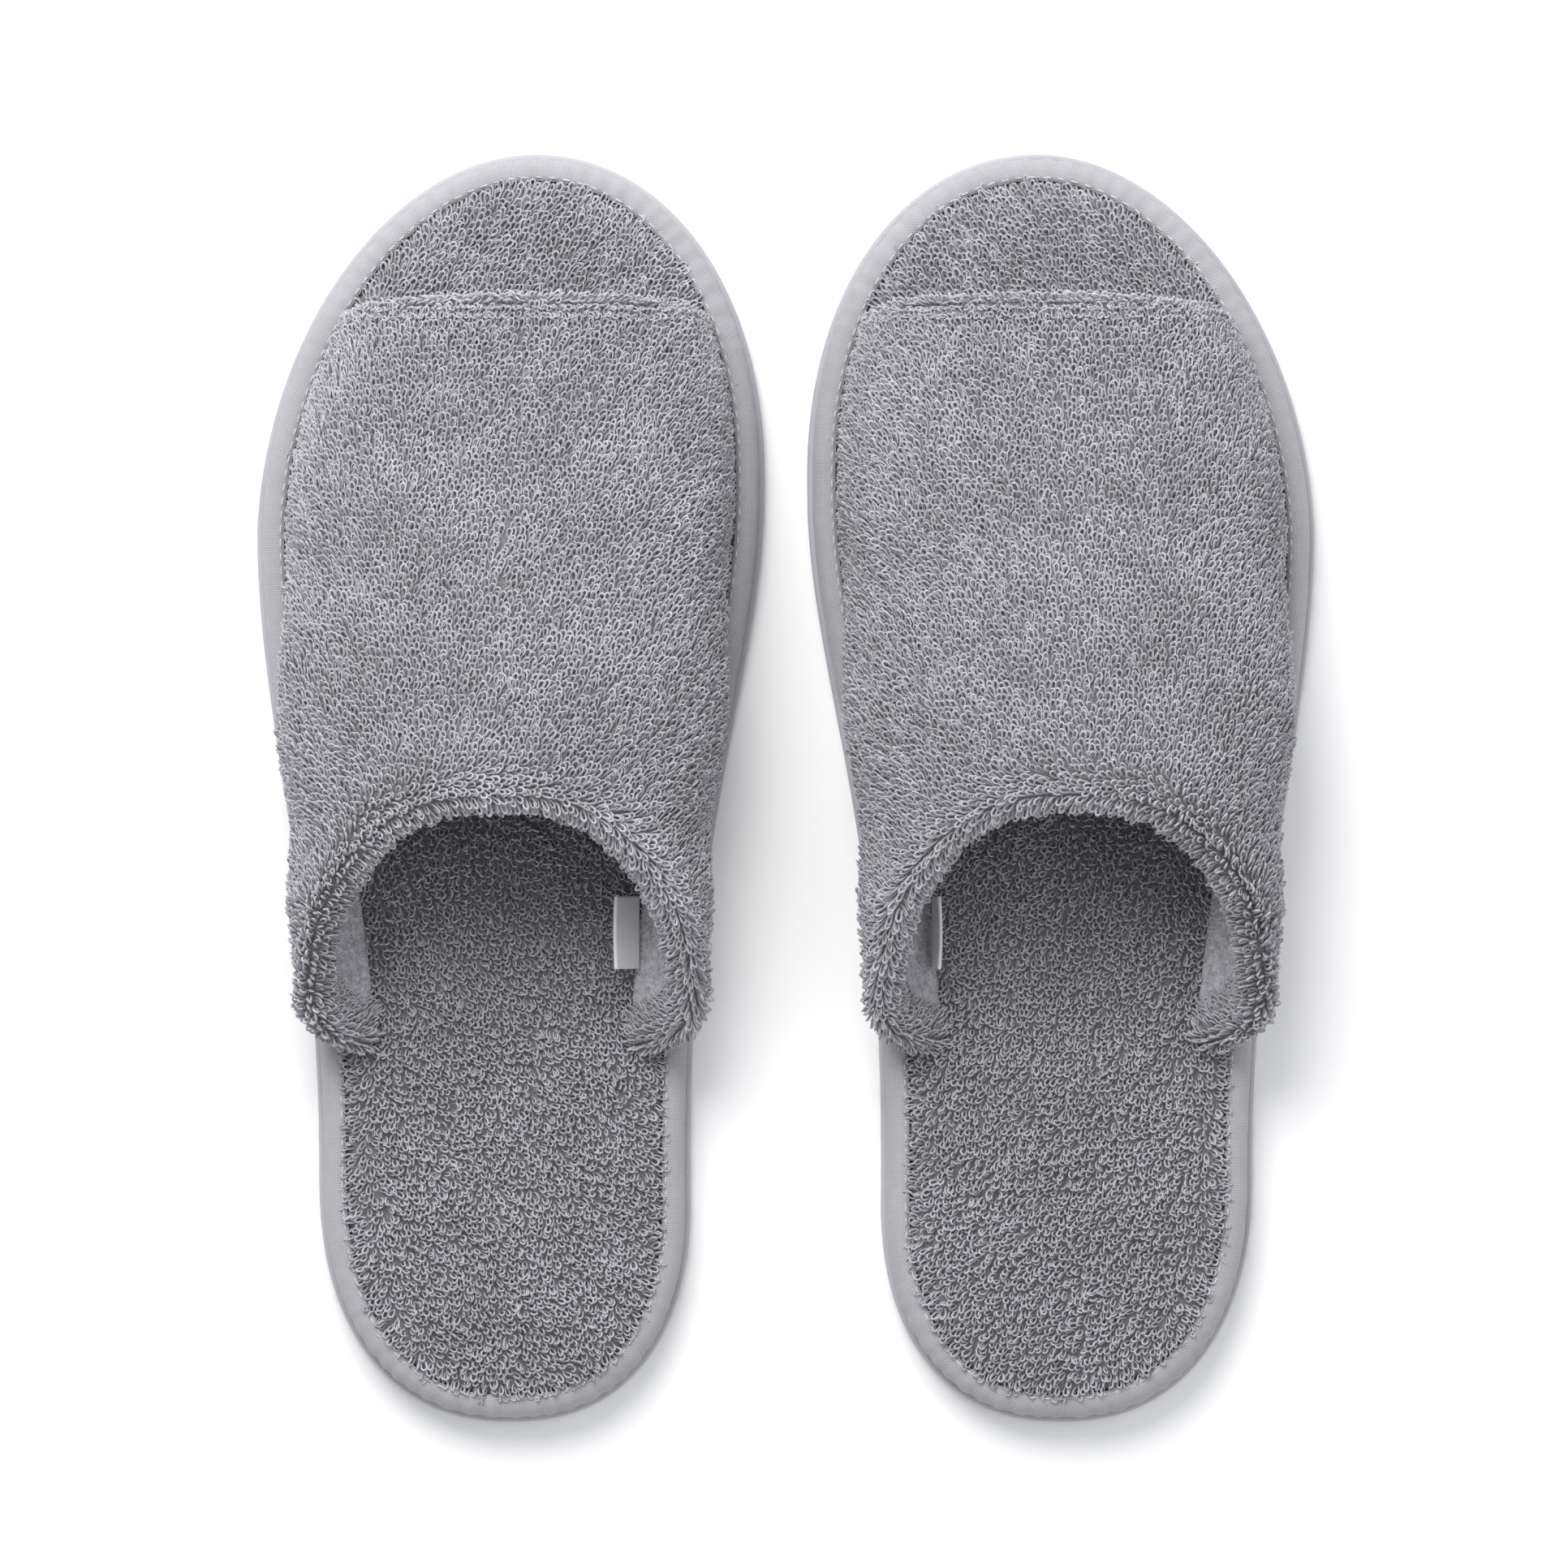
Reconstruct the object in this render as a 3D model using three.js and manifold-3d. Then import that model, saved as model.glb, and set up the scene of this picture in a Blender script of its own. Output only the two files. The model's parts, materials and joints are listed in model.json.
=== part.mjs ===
// A pair of open-toe terry spa slippers: bound and cushioned footbeds on foam outsoles, each with a padded
// band over the instep and a folded care label sewn inside it.
// Millimetres. +X to the right-foot slipper, +Y to the toes, +Z up. The origin is on the floor, midway between
// the two slippers and midway between heel and toe.
import * as THREE from "three";
import { mergeVertices } from "three/addons/utils/BufferGeometryUtils.js";
import Module from "manifold-3d";

const wasm = await Module();
wasm.setup();

// ---- Driving dimensions ------------------------------------------------------------------------------------

// Clearance between two pieces that are sewn or glued face to face
const SEAM_GAP = 0.3;

// Clearance between the band's turned edge and the layers that end inside it, measured along the foot
const TURN_GAP = 1.6;

// Footprint of one slipper, seen from above
const SOLE_LENGTH = 280;
const BALL_WIDTH = 112;
const HEEL_WIDTH = 82;
const HEEL_STATION = 52; // from the back of the heel to where the heel is widest
const BALL_STATION = { lateral: 196, medial: 205 }; // from the back of the heel to the widest places
const HEEL_POWER = 2.3; // 2 is an ellipse, more is squarer
const TOE_POWER = 2.0;
const FLANK_POWER = { lateral: 1.2, medial: 1.5 }; // more keeps the waist narrow for longer
const TOE_SKEW = 5.5; // how far the tip of the toe leans to the medial side
const TOE_SKEW_POWER = 1.3;
const HEEL_SKEW = 1.3; // how far the heel leans to the lateral side

// Space between the two slippers at the balls of the feet
const PAIR_SPACING = 9.5;

// Sole, from the floor up
const OUTSOLE_THICKNESS = 4.5;
const OUTSOLE_CHAMFER = 0.6;
const TREAD_GROOVE_WIDTH = 1.6;
const TREAD_GROOVE_DEPTH = 1.0;
const TREAD_PITCH = 9;
const TREAD_MARGIN = 14; // plain outsole left at the heel and the toe
const BOARD_THICKNESS = 1.0;
const FOOTBED_FOAM_THICKNESS = 3.5;

// Bias tape folded round the footbed's edge
const TAPE_THICKNESS = 0.8;
const TAPE_SETBACK = 1.2; // how far the outsole's rim shows outside the tape
const TAPE_LEG = 1.4; // straight part of the tape inside its rolled edge
const STITCH_WIDTH = 0.5;
const STITCH_HEIGHT = 0.4;

// Terry cloth: a woven ground and the loops on it
const TERRY_GROUND = 1.0;
const TERRY_PILE = 2.4;

// Padded band over the instep
const BAND_FRONT = 248.5; // from the back of the heel to the front edge, at the crown
const BAND_FRONT_CORNER = 2; // how far the front edge drops back where it meets the footbed
const BAND_THROAT = 134.8; // from the back of the heel to the rear edge, at the crown
const BAND_WING_END = 81; // from the back of the heel to where the wings meet the footbed
const BAND_RISE = { front: 33, throat: 47 }; // crown above the footbed
const BAND_SQUARENESS = 2.4; // 2 is an elliptical arch, more has steeper walls
const FRONT_CORNER_POWER = 6; // more keeps the front edge straight for longer
const BAND_FOAM_THICKNESS = 2.5;
const LINING_THICKNESS = 0.8;
const BAND_OVERHANG = { front: -6.2, waist: 0.3 }; // the band's widest part, past the sole's edge
const BAND_OVERHANG_STATION = { front: 192, waist: 148 };
const WING_FLARE = 3.3; // how much further the wings stand out
const WING_FLARE_STATION = { start: 134, end: 112 };
const TUCK_HEIGHT = 12; // over which the wall swings out from its seam to its widest
const THROAT_POWER = 1.4;

// Care label: a ribbon folded in half, sewn in low on the wing and standing up from its seam
const LABEL_WIDTH = 16;
const LABEL_REACH = 8; // from its seam to its fold
const LABEL_THICKNESS = 0.8;
const LABEL_STATION = 107.5; // from the back of the heel to the middle of the label
const LABEL_SEAM_HEIGHT = 1.5; // its seam above the foot of the band
const LABEL_LEAN = { left: 42, right: 12 }; // degrees from upright, in over the footbed

// Facets
const TOE_STEPS = 9;
const FLANK_STEPS = 7;
const HEEL_STEPS = 7;
const ROLL_STEPS = 4;
const ARCH_STEPS = 22;
const ARCH_CROWDING = 0.6; // 0 spaces the steps evenly, 1 crowds them most towards the seams
const BAND_STEPS = 7;
const NOSE_STEPS = 4;
const LABEL_FOLD_STEPS = 6;

// ---- Values worked out from them ---------------------------------------------------------------------------

const TERRY_THICKNESS = TERRY_GROUND + TERRY_PILE;
const TAPE_BOTTOM = OUTSOLE_THICKNESS + SEAM_GAP;
const BOARD_BOTTOM = TAPE_BOTTOM;
const BOARD_TOP = BOARD_BOTTOM + BOARD_THICKNESS;
const FOAM_BOTTOM = Math.max(BOARD_TOP, TAPE_BOTTOM + TAPE_THICKNESS) + SEAM_GAP;
const FOAM_TOP = FOAM_BOTTOM + FOOTBED_FOAM_THICKNESS;
const COVER_BOTTOM = FOAM_TOP + SEAM_GAP;
const COVER_MARGIN_TOP = COVER_BOTTOM + TERRY_GROUND;
const COVER_TOP = COVER_BOTTOM + TERRY_THICKNESS;
const TAPE_TOP = COVER_MARGIN_TOP + SEAM_GAP + TAPE_THICKNESS;
const TAPE_RADIUS = (TAPE_TOP - TAPE_BOTTOM) / 2;
const TAPE_MIDDLE = (TAPE_TOP + TAPE_BOTTOM) / 2;
const TAPE_ROLL_CENTRE = TAPE_SETBACK + TAPE_RADIUS;
const TAPE_EDGE = TAPE_ROLL_CENTRE + TAPE_LEG;
const BAND_SEAM_INSET = TAPE_EDGE + SEAM_GAP;
const BAND_BASE = COVER_TOP + SEAM_GAP;
const BAND_FOAM_DEPTH = TERRY_THICKNESS + SEAM_GAP;
const LINING_DEPTH = BAND_FOAM_DEPTH + BAND_FOAM_THICKNESS + SEAM_GAP;
const BAND_THICKNESS = LINING_DEPTH + LINING_THICKNESS;
const SLIPPER_OFFSET = (BALL_WIDTH + PAIR_SPACING) / 2;

// ---- The footprint -----------------------------------------------------------------------------------------

const smoothstep = (t) => {
  const c = Math.min(1, Math.max(0, t));
  return c * c * (3 - 2 * c);
};
const mix = (a, b, t) => a + (b - a) * t;

// The sole's edge on one side at a distance y from the back of the heel, as a distance from the middle line.
function soleHalfWidth(side, y) {
  const heel = HEEL_WIDTH / 2;
  const ball = BALL_WIDTH / 2;
  const station = BALL_STATION[side];
  if (y < HEEL_STATION) {
    const s = Math.min(1, 1 - y / HEEL_STATION);
    return heel * Math.pow(1 - Math.pow(s, HEEL_POWER), 1 / HEEL_POWER);
  }
  if (y < station) {
    const t = (y - HEEL_STATION) / (station - HEEL_STATION);
    return mix(heel, ball, smoothstep(Math.pow(t, FLANK_POWER[side])));
  }
  const s = Math.min(1, (y - station) / (SOLE_LENGTH - station));
  return ball * Math.pow(1 - Math.pow(s, TOE_POWER), 1 / TOE_POWER);
}

// How far the middle line leans to the medial side at y.
function middleLean(side, y) {
  const station = BALL_STATION[side];
  if (y < HEEL_STATION) {
    return (-HEEL_SKEW * y) / HEEL_STATION;
  }
  if (y < station) {
    return -HEEL_SKEW * (1 - smoothstep((y - HEEL_STATION) / (station - HEEL_STATION)));
  }
  return TOE_SKEW * Math.pow(Math.min(1, (y - station) / (SOLE_LENGTH - station)), TOE_SKEW_POWER);
}

const SIDE_SIGN = { lateral: -1, medial: 1 };
const soleEdge = (side, y) => middleLean(side, y) + SIDE_SIGN[side] * soleHalfWidth(side, y);

// Distances from the back of the heel, from heel to toe, closer together where the edge turns.
function edgeStations(side) {
  const station = BALL_STATION[side];
  const found = [];
  for (let i = 0; i < HEEL_STEPS; i++) {
    const a = ((i / HEEL_STEPS) * Math.PI) / 2;
    found.push(HEEL_STATION * (1 - Math.pow(Math.cos(a), 2 / HEEL_POWER)));
  }
  for (let i = 0; i < FLANK_STEPS; i++) {
    found.push(mix(HEEL_STATION, station, i / FLANK_STEPS));
  }
  for (let i = 0; i <= TOE_STEPS; i++) {
    const a = ((i / TOE_STEPS) * Math.PI) / 2;
    found.push(mix(station, SOLE_LENGTH, Math.pow(Math.sin(a), 2 / TOE_POWER)));
  }
  return found;
}

// The sole's edge as a closed line, anticlockwise from above: up the medial side and down the lateral one.
const soleLine = [
  ...edgeStations("medial").map((y) => new THREE.Vector2(soleEdge("medial", y), y)),
  ...edgeStations("lateral")
    .slice(1, -1)
    .reverse()
    .map((y) => new THREE.Vector2(soleEdge("lateral", y), y)),
];

const inwardNormals = soleLine.map((_, i) => {
  const before = soleLine[(i + soleLine.length - 1) % soleLine.length];
  const after = soleLine[(i + 1) % soleLine.length];
  const along = after.clone().sub(before).normalize();
  return new THREE.Vector2(-along.y, along.x);
});

// The sole's edge moved inwards, with one point for each point of soleLine.
const insetLine = (inset) =>
  soleLine.map((p, i) => p.clone().addScaledVector(inwardNormals[i], inset));

// ---- Closed meshes -----------------------------------------------------------------------------------------

function indexedGeometry(points, triangles) {
  const geometry = new THREE.BufferGeometry();
  geometry.setAttribute(
    "position",
    new THREE.Float32BufferAttribute(points.flatMap((p) => [p.x, p.y, p.z]), 3),
  );
  geometry.setIndex(triangles.flat());
  geometry.computeVertexNormals();
  return geometry;
}

// The triangles between neighbouring rings, each ring holding `size` points in the same order. `turned` says
// where in a ring the quads are cut along their other diagonal.
function bridgeRings(count, size, closedRun, turned = () => false) {
  const triangles = [];
  for (let i = 0; i < (closedRun ? count : count - 1); i++) {
    for (let j = 0; j < size; j++) {
      const a = i * size + j;
      const b = i * size + ((j + 1) % size);
      const c = ((i + 1) % count) * size + ((j + 1) % size);
      const d = ((i + 1) % count) * size + j;
      triangles.push(...(turned(j) ? [[a, b, d], [b, c, d]] : [[a, c, d], [a, b, c]]));
    }
  }
  return triangles;
}

// The triangles that close a level ring of points, facing up or down.
function levelCap(points, start, size, facesUp) {
  const ring = points.slice(start, start + size).map((p) => new THREE.Vector2(p.x, p.y));
  return THREE.ShapeUtils.triangulateShape(ring, []).map(([a, b, c]) =>
    facesUp ? [start + a, start + b, start + c] : [start + a, start + c, start + b],
  );
}

// A section of [inset, height] points, anticlockwise with the inset to the right, swept round the sole's edge.
function sweptRound(section) {
  const points = soleLine.flatMap((p, i) =>
    section.map(([inset, z]) => {
      const q = p.clone().addScaledVector(inwardNormals[i], inset);
      return new THREE.Vector3(q.x, q.y, z);
    }),
  );
  return indexedGeometry(points, bridgeRings(soleLine.length, section.length, true));
}

// A solid with the sole's outline, its wall given as [inset, height] points from the bottom up.
function stackedPlate(wall) {
  const size = soleLine.length;
  const points = wall.flatMap(([inset, z]) =>
    insetLine(inset).map((q) => new THREE.Vector3(q.x, q.y, z)),
  );
  return indexedGeometry(points, [
    ...bridgeRings(wall.length, size, false),
    ...levelCap(points, 0, size, false),
    ...levelCap(points, (wall.length - 1) * size, size, true),
  ]);
}

// three.js geometry to a manifold-3d solid and back, for cutting.
function toSolid(geometry) {
  const bare = geometry.clone();
  bare.deleteAttribute("normal");
  bare.deleteAttribute("uv");
  const merged = mergeVertices(bare, 1e-3);
  return new wasm.Manifold(
    new wasm.Mesh({
      numProp: 3,
      vertProperties: merged.attributes.position.array,
      triVerts: new Uint32Array(merged.index.array),
    }),
  );
}

function toGeometry(solid) {
  const mesh = solid.getMesh();
  const geometry = new THREE.BufferGeometry();
  geometry.setAttribute("position", new THREE.BufferAttribute(mesh.vertProperties, 3));
  geometry.setIndex(new THREE.BufferAttribute(mesh.triVerts, 1));
  geometry.computeVertexNormals();
  return geometry;
}

// ---- Sole pieces -------------------------------------------------------------------------------------------

// Foam outsole with straight grip grooves across its underside.
function outsole() {
  let solid = toSolid(
    stackedPlate([
      [OUTSOLE_CHAMFER, 0],
      [0, OUTSOLE_CHAMFER],
      [0, OUTSOLE_THICKNESS - OUTSOLE_CHAMFER],
      [OUTSOLE_CHAMFER, OUTSOLE_THICKNESS],
    ]),
  );
  const count = Math.floor((SOLE_LENGTH - 2 * TREAD_MARGIN) / TREAD_PITCH);
  const first = (SOLE_LENGTH - (count - 1) * TREAD_PITCH) / 2;
  for (let i = 0; i < count; i++) {
    const groove = new THREE.BoxGeometry(
      2 * BALL_WIDTH,
      TREAD_GROOVE_WIDTH,
      2 * TREAD_GROOVE_DEPTH,
    ).translate(0, first + i * TREAD_PITCH, 0);
    solid = solid.subtract(toSolid(groove));
  }
  return toGeometry(solid);
}

// Stiffener that lies inside the lower leg of the tape.
const insoleBoard = () =>
  stackedPlate([
    [TAPE_EDGE + SEAM_GAP, BOARD_BOTTOM],
    [TAPE_EDGE + SEAM_GAP, BOARD_TOP],
  ]);

// The nearest that a layer may come to the sole's edge inside the rolled tape, at a height. The roll is
// faceted, so its inside is a little nearer the middle than a true arc.
function insideTape(z) {
  const facetRadius = (TAPE_RADIUS - TAPE_THICKNESS) * Math.cos(Math.PI / (2 * ROLL_STEPS));
  const radius = facetRadius - SEAM_GAP;
  const reach = Math.sqrt(Math.max(0, radius ** 2 - (z - TAPE_MIDDLE) ** 2));
  return TAPE_ROLL_CENTRE - reach;
}

function footbedFoam() {
  const inset = Math.max(insideTape(FOAM_BOTTOM), insideTape(FOAM_TOP));
  return stackedPlate([
    [inset, FOAM_BOTTOM],
    [inset, FOAM_TOP],
  ]);
}

// Terry cover: a bare margin under the tape, and the pile inside it.
function footbedCover() {
  const margin = Math.max(insideTape(COVER_BOTTOM), insideTape(COVER_MARGIN_TOP));
  const pile = TAPE_EDGE + SEAM_GAP;
  return stackedPlate([
    [margin, COVER_BOTTOM],
    [margin, COVER_MARGIN_TOP],
    [pile, COVER_MARGIN_TOP],
    [pile, COVER_TOP - TERRY_PILE / 4],
    [pile + TERRY_PILE / 2, COVER_TOP],
  ]);
}

// Bias tape, rolled round the edge of the footbed, with a leg above it and a leg below.
function edgeBinding() {
  const arc = (radius, from, to) =>
    Array.from({ length: ROLL_STEPS + 1 }, (_, i) => {
      const a = mix(from, to, i / ROLL_STEPS);
      return [TAPE_ROLL_CENTRE + radius * Math.cos(a), TAPE_MIDDLE + radius * Math.sin(a)];
    });
  const inner = TAPE_RADIUS - TAPE_THICKNESS;
  return sweptRound([
    [TAPE_EDGE, TAPE_TOP],
    ...arc(TAPE_RADIUS, Math.PI / 2, (3 * Math.PI) / 2),
    [TAPE_EDGE, TAPE_BOTTOM],
    [TAPE_EDGE, TAPE_BOTTOM + TAPE_THICKNESS],
    ...arc(inner, (3 * Math.PI) / 2, Math.PI / 2),
    [TAPE_EDGE, TAPE_TOP - TAPE_THICKNESS],
  ]);
}

// The lockstitch row along the tape's inner edge, as one thin ring.
function bindingStitching() {
  const near = TAPE_EDGE - TAPE_LEG / 2;
  const bottom = TAPE_TOP + SEAM_GAP;
  return sweptRound([
    [near - STITCH_WIDTH / 2, bottom],
    [near + STITCH_WIDTH / 2, bottom],
    [near + STITCH_WIDTH / 2, bottom + STITCH_HEIGHT],
    [near - STITCH_WIDTH / 2, bottom + STITCH_HEIGHT],
  ]);
}

// ---- The band over the instep ------------------------------------------------------------------------------

// Where the front and rear edges of the band run, as distances from the back of the heel. `across` goes from 0
// at the lateral seam to 1 at the medial seam.
function bandFrontAt(across) {
  return BAND_FRONT - BAND_FRONT_CORNER * Math.pow(Math.abs(2 * across - 1), FRONT_CORNER_POWER);
}

function bandRearAt(across) {
  const s = Math.abs(2 * across - 1);
  const drop = 1 - Math.pow(Math.max(0, 1 - s * s), THROAT_POWER);
  return BAND_THROAT - (BAND_THROAT - BAND_WING_END) * drop;
}

// Goes from 0 at one station to 1 at another, smoothly.
const between = (stationOf0, stationOf1, y) =>
  smoothstep((y - stationOf0) / (stationOf1 - stationOf0));

// How far the band's widest part stands past the sole's edge at y.
function bandOverhang(y) {
  const toWaist = between(BAND_OVERHANG_STATION.front, BAND_OVERHANG_STATION.waist, y);
  const flare = WING_FLARE * between(WING_FLARE_STATION.start, WING_FLARE_STATION.end, y);
  return mix(BAND_OVERHANG.front, BAND_OVERHANG.waist, toWaist) + flare;
}

// A point of the band's outer face: a squared arch that springs from the seams inside the tape, and swings out
// over the tape as it rises.
function bandFace(across, y) {
  const angle = Math.PI * across;
  const cosine = Math.cos(angle);
  const rise = mix(BAND_RISE.throat, BAND_RISE.front, between(BAND_THROAT, BAND_FRONT, y));
  const height = rise * Math.pow(Math.sin(angle), 2 / BAND_SQUARENESS);
  const tuck = Math.sin((Math.PI / 2) * Math.min(1, height / TUCK_HEIGHT));
  const out = mix(-BAND_SEAM_INSET, bandOverhang(y), tuck);
  const lateral = soleEdge("lateral", y) - out;
  const medial = soleEdge("medial", y) + out;
  const reach = Math.sign(cosine) * Math.pow(Math.abs(cosine), 2 / BAND_SQUARENESS);
  return new THREE.Vector3(mix(lateral, medial, (1 - reach) / 2), y, BAND_BASE + height);
}

// How far apart the points are that show which way the band's face looks
const LOOK_ACROSS = 1e-3; // as a share of the arch
const LOOK_ALONG = 1; // in millimetres

// A point at a depth below the outer face. The layers stand upright at the seams, so their feet are level.
function bandPoint(across, y, depth) {
  const p = bandFace(across, y);
  const low = Math.max(0, across - LOOK_ACROSS);
  const high = Math.min(1, across + LOOK_ACROSS);
  const over = bandFace(high, y).sub(bandFace(low, y));
  const along = bandFace(across, y + LOOK_ALONG).sub(bandFace(across, y - LOOK_ALONG));
  const inward = over.cross(along).normalize().negate();
  inward.z *= smoothstep((p.z - BAND_BASE) / TUCK_HEIGHT);
  inward.normalize();
  return p.addScaledVector(inward, depth);
}

// One layer of the band. Its section is a closed list of { v, shift, depth }: v runs from 0 at the front edge
// to 1 at the rear edge, and shift moves a point back towards the heel, in millimetres.
function bandLayer(section) {
  const rings = [];
  for (let i = 0; i <= ARCH_STEPS; i++) {
    const t = i / ARCH_STEPS;
    const across = mix(t, (1 - Math.cos(Math.PI * t)) / 2, ARCH_CROWDING);
    for (const { v, shift, depth } of section) {
      const y = mix(bandFrontAt(across), bandRearAt(across), v) - shift;
      rings.push(bandPoint(across, y, depth));
    }
  }
  const size = section.length;
  const runsForward = (j) => section[j].v > section[(j + 1) % size].v;
  return indexedGeometry(rings, [
    ...bridgeRings(ARCH_STEPS + 1, size, false, runsForward),
    ...levelCap(rings, 0, size, false),
    ...levelCap(rings, ARCH_STEPS * size, size, false),
  ]);
}

// Points along one face of a layer, from the front edge to the rear one or back. The ends stop short of the
// band's own edges by endShift.
function alongBand(depth, endShift, backwards) {
  const run = Array.from({ length: BAND_STEPS + 1 }, (_, i) => ({ v: i / BAND_STEPS, shift: 0, depth }));
  run[0].shift = endShift;
  run[BAND_STEPS].shift = -endShift;
  return backwards ? run.reverse() : run;
}

// A half-round nose from the outer face to the inside of the band, turning over its edge.
function turnedEdge(v) {
  const sign = v === 0 ? 1 : -1;
  const radius = BAND_THICKNESS / 2;
  const nose = Array.from({ length: NOSE_STEPS - 1 }, (_, i) => {
    const a = (Math.PI * (i + 1)) / NOSE_STEPS;
    return {
      v,
      shift: sign * radius * (1 - Math.sin(a)),
      depth: radius * (1 - Math.cos(a)),
    };
  });
  return v === 0 ? nose.reverse() : nose;
}

// Outer terry, turned in over the front and rear edges of the padding.
function bandShell() {
  const nose = BAND_THICKNESS / 2;
  const lip = Math.max(TERRY_THICKNESS, nose);
  return bandLayer([
    ...alongBand(0, nose, false),
    ...turnedEdge(1),
    { v: 1, shift: -lip, depth: BAND_THICKNESS },
    ...alongBand(TERRY_THICKNESS, lip, true),
    { v: 0, shift: lip, depth: BAND_THICKNESS },
    ...turnedEdge(0),
  ]);
}

const LAYER_END = Math.max(TERRY_THICKNESS, BAND_THICKNESS / 2) + TURN_GAP;

const bandPadding = () =>
  bandLayer([
    ...alongBand(BAND_FOAM_DEPTH, LAYER_END, false),
    ...alongBand(BAND_FOAM_DEPTH + BAND_FOAM_THICKNESS, LAYER_END, true),
  ]);

const bandLining = () =>
  bandLayer([
    ...alongBand(LINING_DEPTH, LAYER_END, false),
    ...alongBand(LINING_DEPTH + LINING_THICKNESS, LAYER_END, true),
  ]);

// ---- Care label --------------------------------------------------------------------------------------------

const SEAM_SEARCH_STEPS = 40;

// Finds where the band's inner face stands at a station, on the medial wall, at the height of the label's seam.
function labelSeam(station) {
  const wanted = BAND_BASE + LABEL_SEAM_HEIGHT;
  let low = 0.5;
  let high = 1;
  for (let i = 0; i < SEAM_SEARCH_STEPS; i++) {
    const middle = (low + high) / 2;
    if (bandPoint(middle, station, BAND_THICKNESS).z > wanted) low = middle;
    else high = middle;
  }
  return bandPoint(low, station, BAND_THICKNESS);
}

// A folded ribbon: two leaves joined by a round fold. It is drawn hanging, and turned up when it is placed.
function careLabel() {
  const half = LABEL_THICKNESS / 2;
  const outline = new THREE.Shape();
  outline.moveTo(-half, 0);
  outline.lineTo(-half, half - LABEL_REACH);
  outline.absarc(0, half - LABEL_REACH, half, Math.PI, 2 * Math.PI, false);
  outline.lineTo(half, 0);
  outline.closePath();
  return new THREE.ExtrudeGeometry(outline, {
    depth: LABEL_WIDTH,
    bevelEnabled: false,
    curveSegments: LABEL_FOLD_STEPS,
  })
    .translate(0, 0, -LABEL_WIDTH / 2)
    .rotateX(Math.PI / 2);
}

// ---- Materials and assembly --------------------------------------------------------------------------------

const cloth = (color) => new THREE.MeshStandardMaterial({ color, roughness: 0.95, metalness: 0 });
const MATERIALS = {
  outsole: new THREE.MeshStandardMaterial({ color: 0xa4a5ad, roughness: 0.7, metalness: 0 }),
  board: new THREE.MeshStandardMaterial({ color: 0xb9a98c, roughness: 0.9, metalness: 0 }),
  foam: new THREE.MeshStandardMaterial({ color: 0xe4e2da, roughness: 0.9, metalness: 0 }),
  terry: cloth(0x8f9097),
  tape: cloth(0x9b9ca4),
  thread: cloth(0xb4b5bd),
  lining: cloth(0x8a8b93),
  label: cloth(0xf0f0f2),
};

const SHAPES = {
  outsole: [outsole(), MATERIALS.outsole],
  insole_board: [insoleBoard(), MATERIALS.board],
  footbed_foam: [footbedFoam(), MATERIALS.foam],
  footbed_cover: [footbedCover(), MATERIALS.terry],
  edge_binding: [edgeBinding(), MATERIALS.tape],
  binding_stitching: [bindingStitching(), MATERIALS.thread],
  band_shell: [bandShell(), MATERIALS.terry],
  band_padding: [bandPadding(), MATERIALS.foam],
  band_lining: [bandLining(), MATERIALS.lining],
};

// One slipper for the left foot, which a mirrored group turns into the right one.
function slipper(foot) {
  const group = new THREE.Group();
  for (const [piece, [geometry, material]] of Object.entries(SHAPES)) {
    const mesh = new THREE.Mesh(geometry, material);
    mesh.name = `${foot}_${piece}`;
    group.add(mesh);
  }
  const label = new THREE.Mesh(careLabel(), MATERIALS.label);
  label.name = `${foot}_care_label`;
  const lean = THREE.MathUtils.degToRad(LABEL_LEAN[foot]);
  // The wall slants along the straight label, so the nearest of the label's middle and ends sets the gap.
  const seams = [0, -0.5, 0.5].map((share) => labelSeam(LABEL_STATION + share * LABEL_WIDTH));
  label.position.copy(seams[0]);
  label.position.x = Math.min(...seams.map((seam) => seam.x)) - SEAM_GAP - LABEL_THICKNESS / 2;
  label.rotation.y = Math.PI - lean;
  group.add(label);
  group.position.y = -SOLE_LENGTH / 2;
  return group;
}

const pair = new THREE.Group();
const left = slipper("left");
left.position.x = -SLIPPER_OFFSET;
const right = slipper("right");
right.position.x = SLIPPER_OFFSET;
right.scale.x = -1;
pair.add(left, right);

export default pair;
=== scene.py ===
"""A pair of open-toe terry slippers: bound footbeds on foam soles, with a padded terry band over the instep."""

import json
import math

import bpy
import numpy as np
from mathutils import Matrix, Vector, noise


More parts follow.
